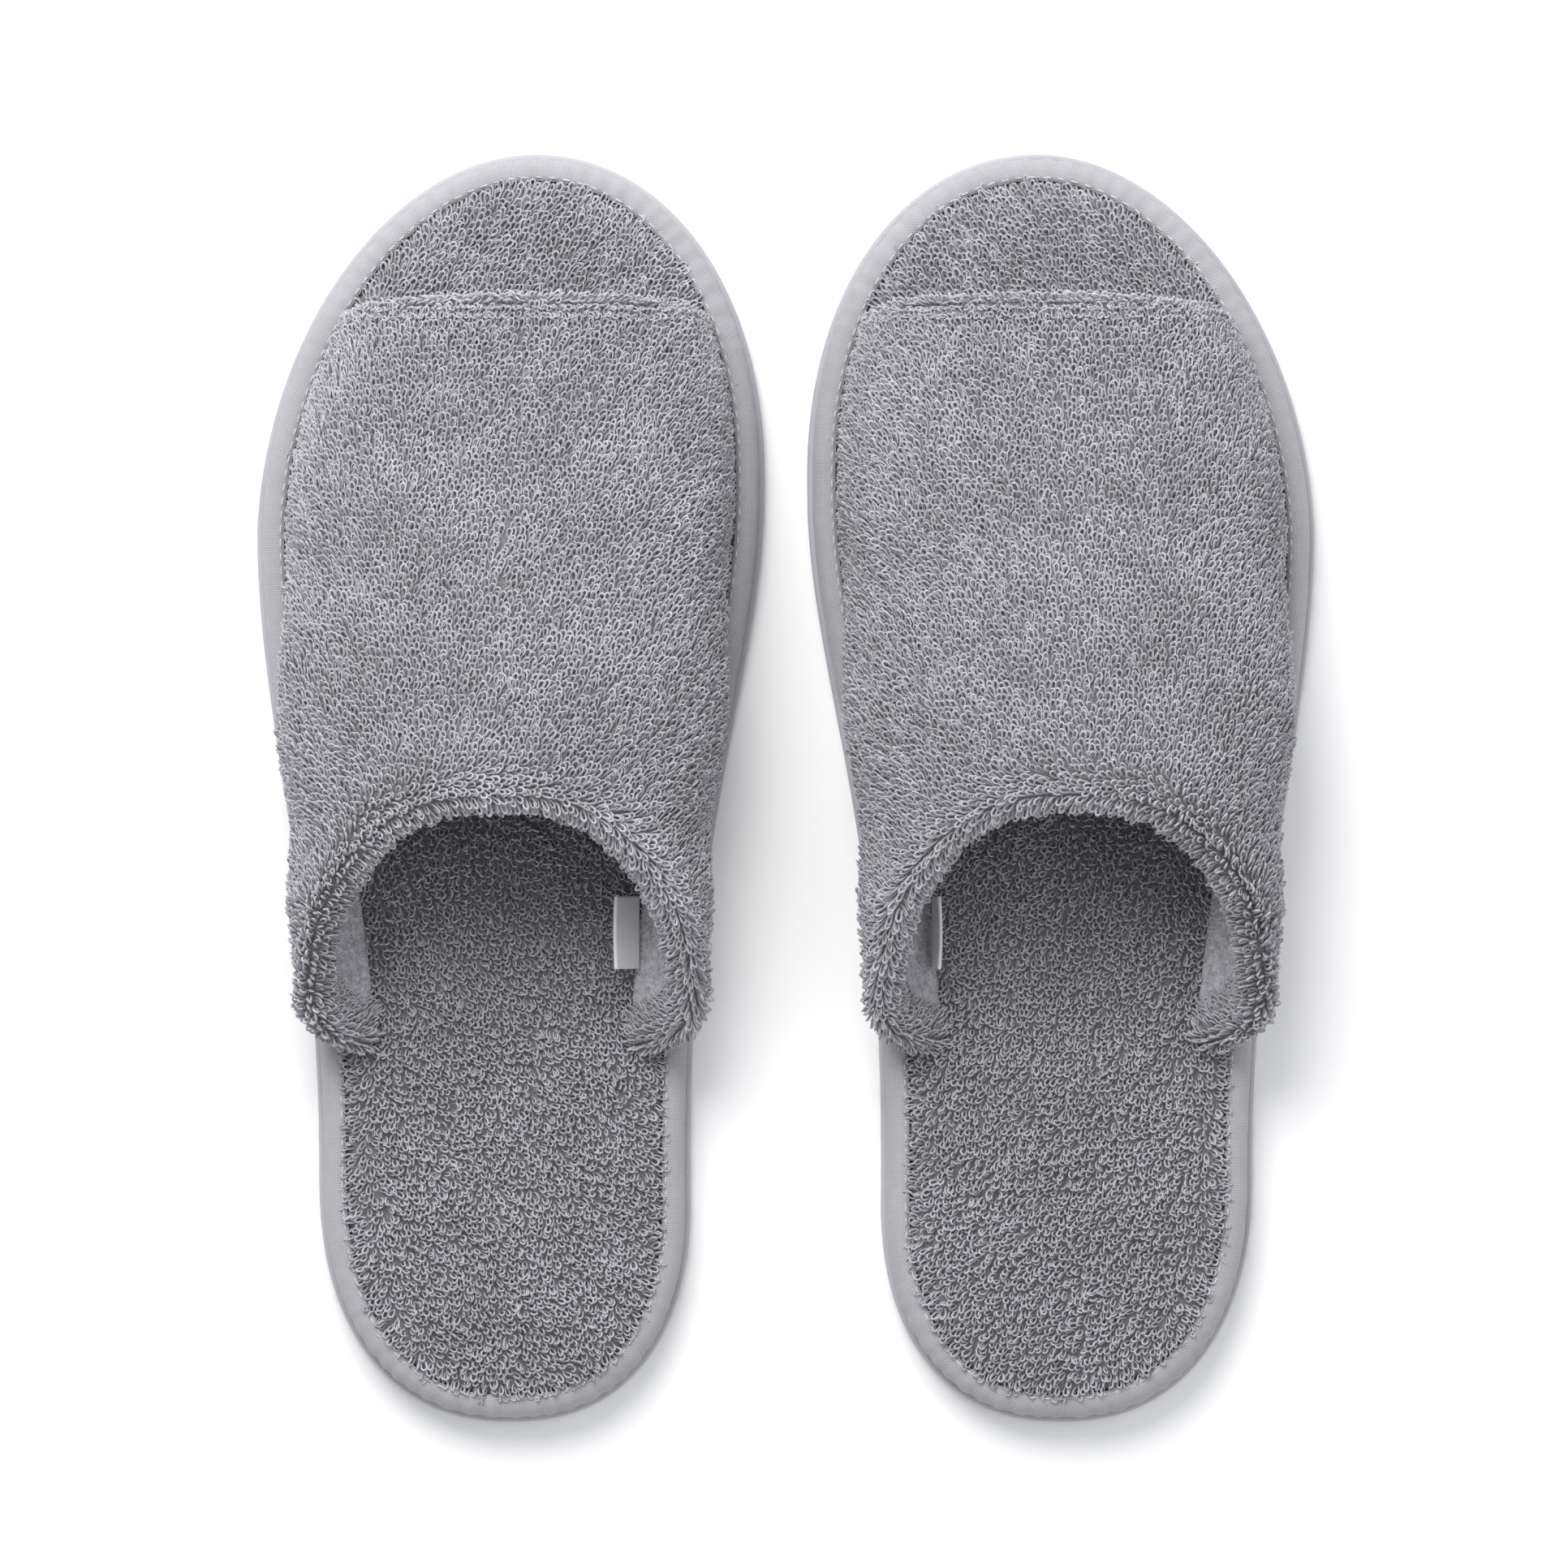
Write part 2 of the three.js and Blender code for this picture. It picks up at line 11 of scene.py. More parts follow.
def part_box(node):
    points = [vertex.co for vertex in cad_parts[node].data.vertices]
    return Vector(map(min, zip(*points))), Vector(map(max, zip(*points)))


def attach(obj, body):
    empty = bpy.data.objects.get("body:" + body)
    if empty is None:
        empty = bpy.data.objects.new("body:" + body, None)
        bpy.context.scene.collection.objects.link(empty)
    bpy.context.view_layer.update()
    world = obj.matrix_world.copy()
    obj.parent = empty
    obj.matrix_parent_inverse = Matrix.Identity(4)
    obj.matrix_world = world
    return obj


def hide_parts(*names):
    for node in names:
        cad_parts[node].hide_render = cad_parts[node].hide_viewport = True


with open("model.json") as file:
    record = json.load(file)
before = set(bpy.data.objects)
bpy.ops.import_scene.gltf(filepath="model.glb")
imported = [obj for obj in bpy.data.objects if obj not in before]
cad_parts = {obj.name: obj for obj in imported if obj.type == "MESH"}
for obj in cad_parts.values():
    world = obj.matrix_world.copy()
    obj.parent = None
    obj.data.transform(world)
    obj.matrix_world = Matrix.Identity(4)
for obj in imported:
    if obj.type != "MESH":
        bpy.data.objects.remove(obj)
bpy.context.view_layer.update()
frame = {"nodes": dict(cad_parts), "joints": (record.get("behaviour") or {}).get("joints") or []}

bl_info = {
    "name": "Terry slippers",
    "version": (1, 0, 0),
    "blender": (4, 5, 0),
    "location": "3D View > Sidebar > Slippers",
    "description": "Makes a pair of open-toe terry slippers, piece by piece",
    "category": "Object",
}

# ---- Sizes taken from the frame ----------------------------------------------------------------------------

MM = 0.001
FEET = {"left": 1, "right": -1}  # the sign turns the medial side of a slipper into +X or -X
SEED = {"left": 11, "right": 47}

OUTSOLE_LOW, OUTSOLE_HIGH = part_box("left_outsole")
TAPE_LOW, TAPE_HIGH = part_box("left_edge_binding")
BAND_LOW, BAND_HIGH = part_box("left_band_shell")

SOLE_LENGTH = OUTSOLE_HIGH.y - OUTSOLE_LOW.y
BALL_WIDTH = OUTSOLE_HIGH.x - OUTSOLE_LOW.x
HEEL_Y = OUTSOLE_LOW.y
SLIPPER_OFFSET = -(OUTSOLE_LOW.x + OUTSOLE_HIGH.x) / 2
TAPE_SETBACK = TAPE_LOW.y - OUTSOLE_LOW.y
TAPE_RADIUS = (TAPE_HIGH.z - TAPE_LOW.z) / 2
COVER_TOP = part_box("left_footbed_cover")[1].z
BAND_BASE = BAND_LOW.z
RISE_THROAT = BAND_HIGH.z - BAND_BASE

# ---- The slipper's shape, in its own axes: x to the medial side, y from the back of the heel, z up -----------

HEEL_WIDTH = 82 * MM
HEEL_STATION = 52 * MM
BALL_STATION = {"lateral": 196 * MM, "medial": 205 * MM}
HEEL_POWER = 2.3
TOE_POWER = 2.0
FLANK_POWER = {"lateral": 1.2, "medial": 1.5}
TOE_SKEW = 5.5 * MM
TOE_SKEW_POWER = 1.3
HEEL_SKEW = 1.3 * MM
SIDE_SIGN = {"lateral": -1, "medial": 1}

TAPE_LEG = 1.4 * MM
TAPE_EDGE = TAPE_SETBACK + TAPE_RADIUS + TAPE_LEG  # from the sole's edge to the tape's inner edge
BAND_SEAM_INSET = TAPE_EDGE + 0.3 * MM

BAND_FRONT = BAND_HIGH.y - HEEL_Y
FRONT_CORNER = 2 * MM
FRONT_CORNER_POWER = 6
BAND_THROAT = 134.8 * MM
WING_END = 81 * MM
RISE_FRONT = 33 * MM
SQUARENESS = 2.4
OVERHANG_FRONT = -6.2 * MM
OVERHANG_WAIST = 0.3 * MM
OVERHANG_STATIONS = (192 * MM, 148 * MM)
WING_FLARE = 3.3 * MM
FLARE_STATIONS = (134 * MM, 112 * MM)
TUCK_HEIGHT = 12 * MM
THROAT_POWER = 1.4
BAND_THICKNESS = 7.3 * MM

# ---- Settings of the cloth, the loops, the light and the camera -----------------------------------------------

THREAD_PITCH = 0.55 * MM  # the tape's weave
TWILL_PITCH = 0.45 * MM  # the label's weave
PLY_PITCH = 0.35 * MM  # the twist of the sewing thread
CLOTH_PRESSURE = 4.0
SIMULATED_FRAMES = 20
HIDDEN_FOOTBED = (142 * MM, 238 * MM)  # the part that the band hides, where loops stand wider apart
FOOTBED_ZONES = {"heel": (0, 70 * MM), "waist": (70 * MM, 142 * MM), "toe": (142 * MM, SOLE_LENGTH)}
BAND_ZONES = (172 * MM, 212 * MM)  # where the band's loops pass from one piece to the next
LABEL_LOWEST_LEAN = 70.0  # degrees from upright at the upper limit of its hinge
PRESSED_LOOPS = 0.8  # share of their length that the loops under the label keep
PRESSED_MARGIN = 1.5 * MM
PRESSED_HALF_LENGTH = 10 * MM
LOOP_ROOT = 0.1 * MM  # how far a loop's legs go down into the ground cloth
LOOP_JITTER = 0.13  # how far a loop strays from its row and wale, as a share of the pitch
FOOTBED_EDGE_TURN = 7 * MM  # width of the strip where the footbed's pile turns to its edge
THROAT_TURN = 9 * MM  # the same at the band's throat
TOE_TURN = (215 * MM, 250 * MM)  # where the footbed's pile turns to lie towards the toe
PUCKERED = {"toe": (215 * MM, 265 * MM), "heel": (45 * MM, 10 * MM)}  # where the tape's puckers grow
HEM_UNDER_TAPE = 0.9 * MM  # how far the footbed's cloth goes under the tape

FLOOR_HALF = 2.0
WORLD_LIGHT = 0.68
KEY_POWER = 14.0
TOE_LIGHT_POWER = 3.0
FILL_POWER = 3.0
CAMERA_LENS = 300.0
SENSOR = 36.0
VIEW_WIDTH = 346.3 * MM
VIEW_CENTRE = (-0.4 * MM, 0.9 * MM)

# What has been made so far, so that it is made once
SWELLS, MATERIALS, TREES = {}, {}, {}


def smooth(t):
    t = np.clip(t, 0, 1)
    return t * t * (3 - 2 * t)


def between(station_of_0, station_of_1, y):
    return smooth((y - station_of_0) / (station_of_1 - station_of_0))


def mix(a, b, t):
    return a + (b - a) * t


def sole_half_width(side, y):
    """The sole's edge on one side as a distance from the middle line."""
    heel, ball, station = HEEL_WIDTH / 2, BALL_WIDTH / 2, BALL_STATION[side]
    to_heel = np.clip(1 - y / HEEL_STATION, 0, 1)
    to_toe = np.clip((y - station) / (SOLE_LENGTH - station), 0, 1)
    along_flank = np.clip((y - HEEL_STATION) / (station - HEEL_STATION), 0, 1)
    back = heel * (1 - to_heel**HEEL_POWER) ** (1 / HEEL_POWER)
    flank = mix(heel, ball, smooth(along_flank ** FLANK_POWER[side]))
    toe = ball * (1 - to_toe**TOE_POWER) ** (1 / TOE_POWER)
    return np.where(y < HEEL_STATION, back, np.where(y < station, flank, toe))


def middle_lean(side, y):
    """How far the middle line leans to the medial side."""
    station = BALL_STATION[side]
    flank = -HEEL_SKEW * (1 - between(HEEL_STATION, station, y))
    toe = TOE_SKEW * np.clip((y - station) / (SOLE_LENGTH - station), 0, 1) ** TOE_SKEW_POWER
    return np.where(y < HEEL_STATION, -HEEL_SKEW * y / HEEL_STATION, np.where(y < station, flank, toe))


def sole_edge(side, y):
    return middle_lean(side, y) + SIDE_SIGN[side] * sole_half_width(side, y)


def crowded(count):
    """Numbers from 0 to 1 that stand closer together near both ends."""
    return (1 - np.cos(np.linspace(0, math.pi, count))) / 2


def run_along(line):
    """How far along a line of points each of them lies."""
    return np.concatenate([[0], np.cumsum(np.linalg.norm(np.diff(line, axis=0), axis=1))])


def resample(points, count, closed=False):
    """Points at even distances along a line of points."""
    line = np.vstack([points, points[:1]]) if closed else points
    run = run_along(line)
    wanted = np.linspace(0, run[-1], count, endpoint=not closed)
    return np.stack([np.interp(wanted, run, line[:, k]) for k in range(line.shape[1])], axis=1)


def sole_outline(count):
    """The sole's edge, anticlockwise from the heel, and which way is inwards at each point."""
    t = crowded(1500)
    y = SOLE_LENGTH * t * t * (3 - 2 * t)
    medial = np.stack([sole_edge("medial", y), y], axis=1)
    lateral = np.stack([sole_edge("lateral", y), y], axis=1)[::-1]
    line = resample(np.vstack([medial, lateral[1:-1]]), count, closed=True)
    along = np.roll(line, -1, axis=0) - np.roll(line, 1, axis=0)
    along /= np.linalg.norm(along, axis=1)[:, None]
    return line, np.stack([-along[:, 1], along[:, 0]], axis=1)


OUTLINE, OUTLINE_INWARD = sole_outline(1600)


def rim_distance(points):
    """How far points lie inside the sole's edge."""
    found = []
    for block in np.array_split(points[:, :2], max(1, len(points) // 800)):
        gap = np.linalg.norm(block[:, None, :] - OUTLINE[None, ::2, :], axis=2)
        found.append(gap.min(axis=1))
    inside = np.concatenate(found)
    y = points[:, 1]
    out = (points[:, 0] > sole_edge("medial", y)) | (points[:, 0] < sole_edge("lateral", y))
    return np.where(out | (y < 0) | (y > SOLE_LENGTH), -inside, inside)


# ---- The band's shape ----------------------------------------------------------------------------------------


def band_front_at(across):
    return BAND_FRONT - FRONT_CORNER * np.abs(2 * across - 1) ** FRONT_CORNER_POWER


def band_rear_at(across):
    s = np.abs(2 * across - 1)
    drop = 1 - np.clip(1 - s * s, 0, 1) ** THROAT_POWER
    return BAND_THROAT - (BAND_THROAT - WING_END) * drop


def band_overhang(y):
    to_waist = between(*OVERHANG_STATIONS, y)
    return mix(OVERHANG_FRONT, OVERHANG_WAIST, to_waist) + WING_FLARE * between(*FLARE_STATIONS, y)


def band_face(across, y):
    """A point of the pile's outer surface. `across` goes from 0 at the lateral seam to 1 at the medial one."""
    across, y = np.broadcast_arrays(np.asarray(across, float), np.asarray(y, float))
    angle = math.pi * np.clip(across, 0, 1)
    cosine = np.cos(angle)
    rise = mix(RISE_THROAT, RISE_FRONT, between(BAND_THROAT, BAND_FRONT, y))
    height = rise * np.clip(np.sin(angle), 0, 1) ** (2 / SQUARENESS)
    tuck = np.sin(math.pi / 2 * np.clip(height / TUCK_HEIGHT, 0, 1))
    out = mix(-BAND_SEAM_INSET, band_overhang(y), tuck)
    lateral = sole_edge("lateral", y) - out
    medial = sole_edge("medial", y) + out
    reach = np.sign(cosine) * np.abs(cosine) ** (2 / SQUARENESS)
    return np.stack([mix(lateral, medial, (1 - reach) / 2), y, BAND_BASE + height], axis=-1)


def unit(v):
    return v / np.maximum(np.linalg.norm(v, axis=-1, keepdims=True), 1e-12)


def across_to(up, lay):
    """What is left of `lay` without its share along `up`."""
    return lay - up * (lay * up).sum(1)[:, None]


def band_slopes(across, y):
    """How the face moves with `across` and with y."""
    step, reach = 1e-3, 1e-3
    low, high = np.clip(across - step, 0, 1), np.clip(across + step, 0, 1)
    over = (band_face(high, y) - band_face(low, y)) / (high - low)[..., None]
    along = (band_face(across, y + reach) - band_face(across, y - reach)) / (2 * reach)
    return over, along


def band_outward(across, y):
    over, along = band_slopes(across, y)
    return unit(np.cross(over, along))


def band_inward(across, y, height):
    """Which way the band's thickness goes. At the seams it lies level."""
    inward = -band_outward(across, y)
    inward[..., 2] *= smooth(height / TUCK_HEIGHT)
    return unit(inward)


def band_point(across, y, depth):
    p = band_face(across, y)
    inward = band_inward(across, y, p[..., 2] - BAND_BASE)
    return p + inward * np.asarray(depth)[..., None]


class BandEdge:
    """The front or the rear edge of the band, where its cloth turns in over the padding."""

    def __init__(self, which, count, pile):
        at, sign = {"front": (band_front_at, 1), "rear": (band_rear_at, -1)}[which]
        dense = crowded(900)
        line = np.column_stack([band_face(dense, at(dense)), dense])
        self.across = resample_by(line, count)
        y = at(self.across)
        on_edge = band_face(self.across, y)
        self.along = unit(np.gradient(on_edge, axis=0))
        self.radius = (BAND_THICKNESS - pile) / 2
        outward = band_outward(self.across, y)
        self.out = unit(np.cross(outward, self.along))
        self.out *= np.sign(self.out[:, 1:2] * sign + 1e-9)
        inset = -self.out * (pile + self.radius)
        over, along = band_slopes(self.across, y)
        # The same step as a change of `across` and of y
        a11, a12, a22 = (over * over).sum(1), (over * along).sum(1), (along * along).sum(1)
        b1, b2 = (over * inset).sum(1), (along * inset).sum(1)
        det = a11 * a22 - a12 * a12
        self.face_across = np.clip(self.across + (a22 * b1 - a12 * b2) / det, 0, 1)
        self.face_y = y + (a11 * b2 - a12 * b1) / det
        face = band_face(self.face_across, self.face_y)
        self.inward = band_inward(self.face_across, self.face_y, face[:, 2] - BAND_BASE)
        self.out = unit(across_to(self.inward, self.out))
        self.centre = face + self.inward * (pile + self.radius)

    def roll(self, turn):
        """Points and outward directions at an angle round the turned edge, 0 outside and pi inside."""
        away = -self.inward * math.cos(turn) + self.out * math.sin(turn)
        return self.centre + away * self.radius, away

    def lip(self, distance):
        """Points inside the band, back from the turned edge."""
        return self.centre + self.inward * self.radius - self.out * distance


def resample_by(line, count):
    """The last column of a line of points, at even distances along the line that the others make."""
    run = run_along(line[:, :3])
    return np.interp(np.linspace(0, run[-1], count), run, line[:, 3])


# ---- Meshes --------------------------------------------------------------------------------------------------


def to_frame(points, foot):
    """Points of a slipper's own axes in the pair's frame."""
    sign = FEET[foot]
    moved = np.array(points, float)
    moved[:, 0] = sign * (points[:, 0] - SLIPPER_OFFSET)
    moved[:, 1] += HEEL_Y
    return moved


def turned_to_frame(vectors, foot):
    return vectors * np.array([FEET[foot], 1, 1])


def new_object(name, mesh):
    item = bpy.data.objects.new(name, mesh)
    bpy.context.scene.collection.objects.link(item)
    return item


def mesh_object(name, points, faces, foot, shade_smooth=True):
    """A mesh in the pair's frame. The right slipper mirrors the left, so its faces are wound the other way."""
    if FEET[foot] < 0:
        faces = flipped(faces)
    mesh = bpy.data.meshes.new(name)
    mesh.from_pydata(to_frame(points, foot).tolist(), [], faces)
    mesh.validate()
    mesh.shade_smooth() if shade_smooth else mesh.shade_flat()
    return new_object(name, mesh)


def flipped(faces):
    return [tuple(reversed(face)) for face in faces]


def grid_faces(rows, columns, wrap_rows=False, wrap_columns=False):
    faces = []
    for i in range(rows if wrap_rows else rows - 1):
        for j in range(columns if wrap_columns else columns - 1):
            i2, j2 = (i + 1) % rows, (j + 1) % columns
            faces.append((i * columns + j, i2 * columns + j, i2 * columns + j2, i * columns + j2))
    return faces


def set_uv(item, uv_of_vertex, seam_u=None):
    """Gives a mesh a UV map from one (u, v) for each vertex. seam_u is the length of u round a closed ring."""
    mesh = item.data
    corner = np.zeros(len(mesh.loops), np.int32)
    mesh.loops.foreach_get("vertex_index", corner)
    uv = uv_of_vertex[corner]
    if seam_u:
        for polygon in mesh.polygons:
            span = slice(polygon.loop_start, polygon.loop_start + polygon.loop_total)
            if np.ptp(uv[span, 0]) > seam_u / 2:
                uv[span, 0] += np.where(uv[span, 0] < seam_u / 2, seam_u, 0)
    layer = mesh.uv_layers.new(name="ClothUV")
    layer.data.foreach_set("uv", uv.astype(np.float32).ravel())


def wave(points, size, seed):
    """Smooth noise from -1 to 1, with bumps of a size."""
    offset = Vector((seed * 7.31, seed * 3.17, seed * 5.73))
    return np.array([noise.noise(Vector(p) / size + offset) for p in points])


def apply_modifiers(item):
    """Turns an object with modifiers into a plain mesh."""
    graph = bpy.context.evaluated_depsgraph_get()
    mesh = bpy.data.meshes.new_from_object(item.evaluated_get(graph))
    item.modifiers.clear()
    old = item.data
    item.data = mesh
    mesh.name = item.name
    bpy.data.meshes.remove(old)
    return item


def thicken(item, thickness, offset=-1):
    """Gives a sheet its thickness, below its surface or, with an offset of 0, on both sides of it."""
    solid = item.modifiers.new("Cloth", "SOLIDIFY")
    solid.thickness = thickness
    solid.offset = offset
    apply_modifiers(item)


def finish_piece(item, foot, material=None, nodes=(), body=None):
    """Material, body, slot and the CAD nodes that a piece stands for."""
    if material is not None:
        item.data.materials.clear()
        item.data.materials.append(material)
    if nodes:
        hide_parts(*[f"{foot}_{node}" for node in nodes])
    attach(item, body or f"{foot}_slipper")
    return item


# ---- Cloth simulation ------------------------------------------------------------------------------------------


class Swell:
    """How far sewn-down cloth stands off its padding, from a cloth simulation on a grid of points."""

    def __init__(self, grid, pressure, most, seed):
        rows, columns = grid.shape[:2]
        self.height = np.zeros((rows, columns))
        mesh = bpy.data.meshes.new("Draft")
        mesh.from_pydata(grid.reshape(-1, 3).tolist(), [], grid_faces(rows, columns))
        draft = new_object("Draft", mesh)
        sewn = np.ones((rows, columns), bool)
        sewn[2:-2, 2:-2] = False
        draft.vertex_groups.new(name="Sewn").add(np.flatnonzero(sewn.ravel()).tolist(), 1.0, "REPLACE")
        # The padding pushes unevenly
        push = draft.vertex_groups.new(name="Push")
        for index, share in enumerate(0.6 + 0.4 * wave(grid.reshape(-1, 3), 22 * MM, seed)):
            push.add([index], float(np.clip(share, 0, 1)), "REPLACE")
        cloth = draft.modifiers.new("Cloth", "CLOTH")
        cloth.settings.vertex_group_mass = "Sewn"
        cloth.settings.vertex_group_pressure = "Push"
        cloth.settings.use_pressure = True
        cloth.settings.uniform_pressure_force = pressure
        cloth.settings.effector_weights.gravity = 0
        cloth.point_cache.frame_start, cloth.point_cache.frame_end = 1, SIMULATED_FRAMES
        scene = bpy.context.scene
        for number in range(1, SIMULATED_FRAMES + 1):
            scene.frame_set(number)
        swollen = draft.evaluated_get(bpy.context.evaluated_depsgraph_get()).data
        found = np.empty(rows * columns * 3, np.float32)
        swollen.vertices.foreach_get("co", found)
        bpy.data.objects.remove(draft)
        scene.frame_set(1)
        over, along = np.gradient(grid, axis=1), np.gradient(grid, axis=0)
        normal = unit(np.cross(along, over))
        lift = ((found.reshape(grid.shape) - grid) * normal).sum(axis=-1)
        self.height = most * np.tanh(np.maximum(lift * np.sign(lift.mean()), 0) / most)

    def at(self, down, over):
        """The height at places from 0 to 1 down and over the grid."""
        rows, columns = self.height.shape
        i = np.clip(down, 0, 1) * (rows - 1)
        j = np.clip(over, 0, 1) * (columns - 1)
        i0, j0 = np.minimum(i.astype(int), rows - 2), np.minimum(j.astype(int), columns - 2)
        i, j = i - i0, j - j0
        near = mix(self.height[i0, j0], self.height[i0, j0 + 1], j)
        far = mix(self.height[i0 + 1, j0], self.height[i0 + 1, j0 + 1], j)
        return mix(near, far, i)


# ---- Node graphs ---------------------------------------------------------------------------------------------


class Num:
    """A number in a node graph, which Python's operators work on."""

    def __init__(self, graph, socket):
        self.graph, self.socket = graph, socket

    def math(self, operation, *others):
        return self.graph.num("ShaderNodeMath", {"operation": operation}, dict(enumerate((self, *others))))

    def __add__(self, other):
        return self.math("ADD", other)

    __radd__ = __add__

    def __mul__(self, other):
        return self.math("MULTIPLY", other)

    __rmul__ = __mul__

    def __sub__(self, other):
        return self.math("SUBTRACT", other)

    def __rsub__(self, other):
        return (self * -1) + other

    def __truediv__(self, other):
        return self.math("DIVIDE", other)

    def __pow__(self, other):
        return self.math("POWER", other)

    def ramp(self, low, high, to_low=0.0, to_high=1.0):
        """Goes smoothly from to_low to to_high as this number goes from low to high."""
        values = {"Value": self, "From Min": low, "From Max": high, "To Min": to_low, "To Max": to_high}
        return self.graph.num("ShaderNodeMapRange", {"interpolation_type": "SMOOTHSTEP"}, values)


class Graph:
    """Adds nodes to a shader or geometry tree."""

    def __init__(self, tree):
        self.tree = tree

    def node(self, kind, settings=None, inputs=None):
        made = self.tree.nodes.new(kind)
        for key, value in (settings or {}).items():
            setattr(made, key, value)
        for key, value in (inputs or {}).items():
            socket = made.inputs[key]
            if isinstance(value, Num):
                value = value.socket
            if isinstance(value, bpy.types.NodeSocket):
                self.tree.links.new(value, socket)
            else:
                socket.default_value = value
        return made

    def out(self, kind, settings=None, inputs=None, output=0):
        return self.node(kind, settings, inputs).outputs[output]

    def num(self, kind, settings=None, inputs=None, output=0):
        return Num(self, self.out(kind, settings, inputs, output))

    def vector(self, operation, *values):
        return self.out("ShaderNodeVectorMath", {"operation": operation}, dict(enumerate(values)))

    def scaled(self, vector, factor):
        return self.out("ShaderNodeVectorMath", {"operation": "SCALE"}, {"Vector": vector, "Scale": factor})

    def xyz(self, x=0.0, y=0.0, z=0.0):
        return self.out("ShaderNodeCombineXYZ", None, {0: x, 1: y, 2: z})

    def parts(self, vector):
        """The three numbers of a vector."""
        return [Num(self, part) for part in self.node("ShaderNodeSeparateXYZ", None, {0: vector}).outputs]

    def stored(self, geometry, name, value, kind="FLOAT", domain="POINT"):
        return self.out("GeometryNodeStoreNamedAttribute", {"data_type": kind, "domain": domain},
                        {"Geometry": geometry, "Name": name, "Value": value})

    def mixed(self, factor, a, b):
        """A colour from a, at factor 0, to b, at factor 1."""
        return self.out("ShaderNodeMix", {"data_type": "RGBA"}, {0: factor, 6: a, 7: b}, 2)


def shade(colour, factor):
    return (*[min(1.0, c * factor) for c in colour[:3]], 1.0)


def new_material(name, build, **shader):
    """A material whose shader takes constants from `shader` and whatever links `build` returns."""
    material = bpy.data.materials.new(name)
    material.use_nodes = True
    tree = material.node_tree
    tree.nodes.clear()
    graph = Graph(tree)
    links = build(graph)
    principled = graph.node("ShaderNodeBsdfPrincipled", None, {**shader, **links})
    output = graph.node("ShaderNodeOutputMaterial")
    tree.links.new(principled.outputs[0], output.inputs["Surface"])
    return material


def bump(graph, height, distance, strength=1.0):
    return graph.out("ShaderNodeBump", None, {"Height": height, "Distance": distance, "Strength": strength})


def object_place(graph):
    return graph.out("ShaderNodeTexCoord", None, None, "Object")


def object_noise(graph, scale, detail=2.0):
    return graph.num("ShaderNodeTexNoise", None, {"Vector": object_place(graph), "Scale": scale, "Detail": detail})


def cloth_uv(graph):
    return graph.parts(graph.out("ShaderNodeUVMap", {"uv_map": "ClothUV"}))[:2]


def yarn_material(name, colour):
    """Loop yarn: each loop has its own shade, over broad soft patches."""

    def build(graph):
        loop = graph.num("ShaderNodeAttribute", {"attribute_name": "tint"}, None, "Fac")
        patch = object_noise(graph, 55, 3).ramp(0.3, 0.7)
        tone = loop * 0.55 + patch * 0.45
        return {"Base Color": graph.mixed(tone, shade(colour, 0.8), shade(colour, 1.17))}

    return new_material(name, build, Roughness=0.9, **{"Sheen Weight": 0.25, "Sheen Roughness": 0.5,
                                                      "Specular IOR Level": 0.25})


def painted_shade_ground_material(name, colour):
    """The woven ground under the loops, in the terry's colour darkened to between a third and a half: painted
    shade for the deep shadow among the loops.
    """

    def build(graph):
        fuzz = object_noise(graph, 1400, 3)
        # Painted shade: these dark colours stand in for the shadow that falls between the loops; the fuzz noise
        # adds real random tone.
        return {"Base Color": graph.mixed(fuzz, shade(colour, 0.3), shade(colour, 0.5)),
                "Normal": bump(graph, fuzz, 0.4 * MM)}

    return new_material(name, build, Roughness=0.95)


def tape_material(name, colour):
    """Plain weave cut on the bias: the threads cross the tape at 45 degrees. Its colour holds painted highlights
    on the thread crossings and painted shade between them.
    """

    def build(graph):
        u, v = cloth_uv(graph)
        turn = math.pi / THREAD_PITCH
        warp, weft = (u + v) * turn, (u - v) * turn
        over = (warp.math("SINE") * weft.math("SINE")).ramp(-0.7, 0.7)
        rise = warp.math("SINE").math("ABSOLUTE") * weft.math("SINE").math("ABSOLUTE")
        slub = object_noise(graph, 380, 2)
        patch = object_noise(graph, 60, 2)
        # Painted highlight and shade: over and rise make the raised thread crossings lighter and the hollows
        # between them darker; slub and patch are real random tone.
        tone = over * 0.3 + rise * 0.45 + slub * 0.15 + patch * 0.1
        return {"Base Color": graph.mixed(tone, shade(colour, 0.5), shade(colour, 1.32)),
                "Roughness": tone.ramp(0, 1, 0.9, 0.72),
                "Normal": bump(graph, rise * 0.7 + over * 0.3, 0.14 * MM)}

    return new_material(name, build, **{"Sheen Weight": 0.15, "Specular IOR Level": 0.3})


def lining_material(name, colour):
    """Brushed cloth with a short soft nap."""

    def build(graph):
        nap = object_noise(graph, 1300, 3).ramp(0.3, 0.7)
        tuft = object_noise(graph, 520, 2).ramp(0.3, 0.7)
        tone = nap * 0.5 + tuft * 0.5
        return {"Base Color": graph.mixed(tone, shade(colour, 0.62), shade(colour, 1.3)),
                "Normal": bump(graph, tone, 0.6 * MM)}

    return new_material(name, build, Roughness=1.0, **{"Sheen Weight": 0.5, "Sheen Roughness": 0.4})


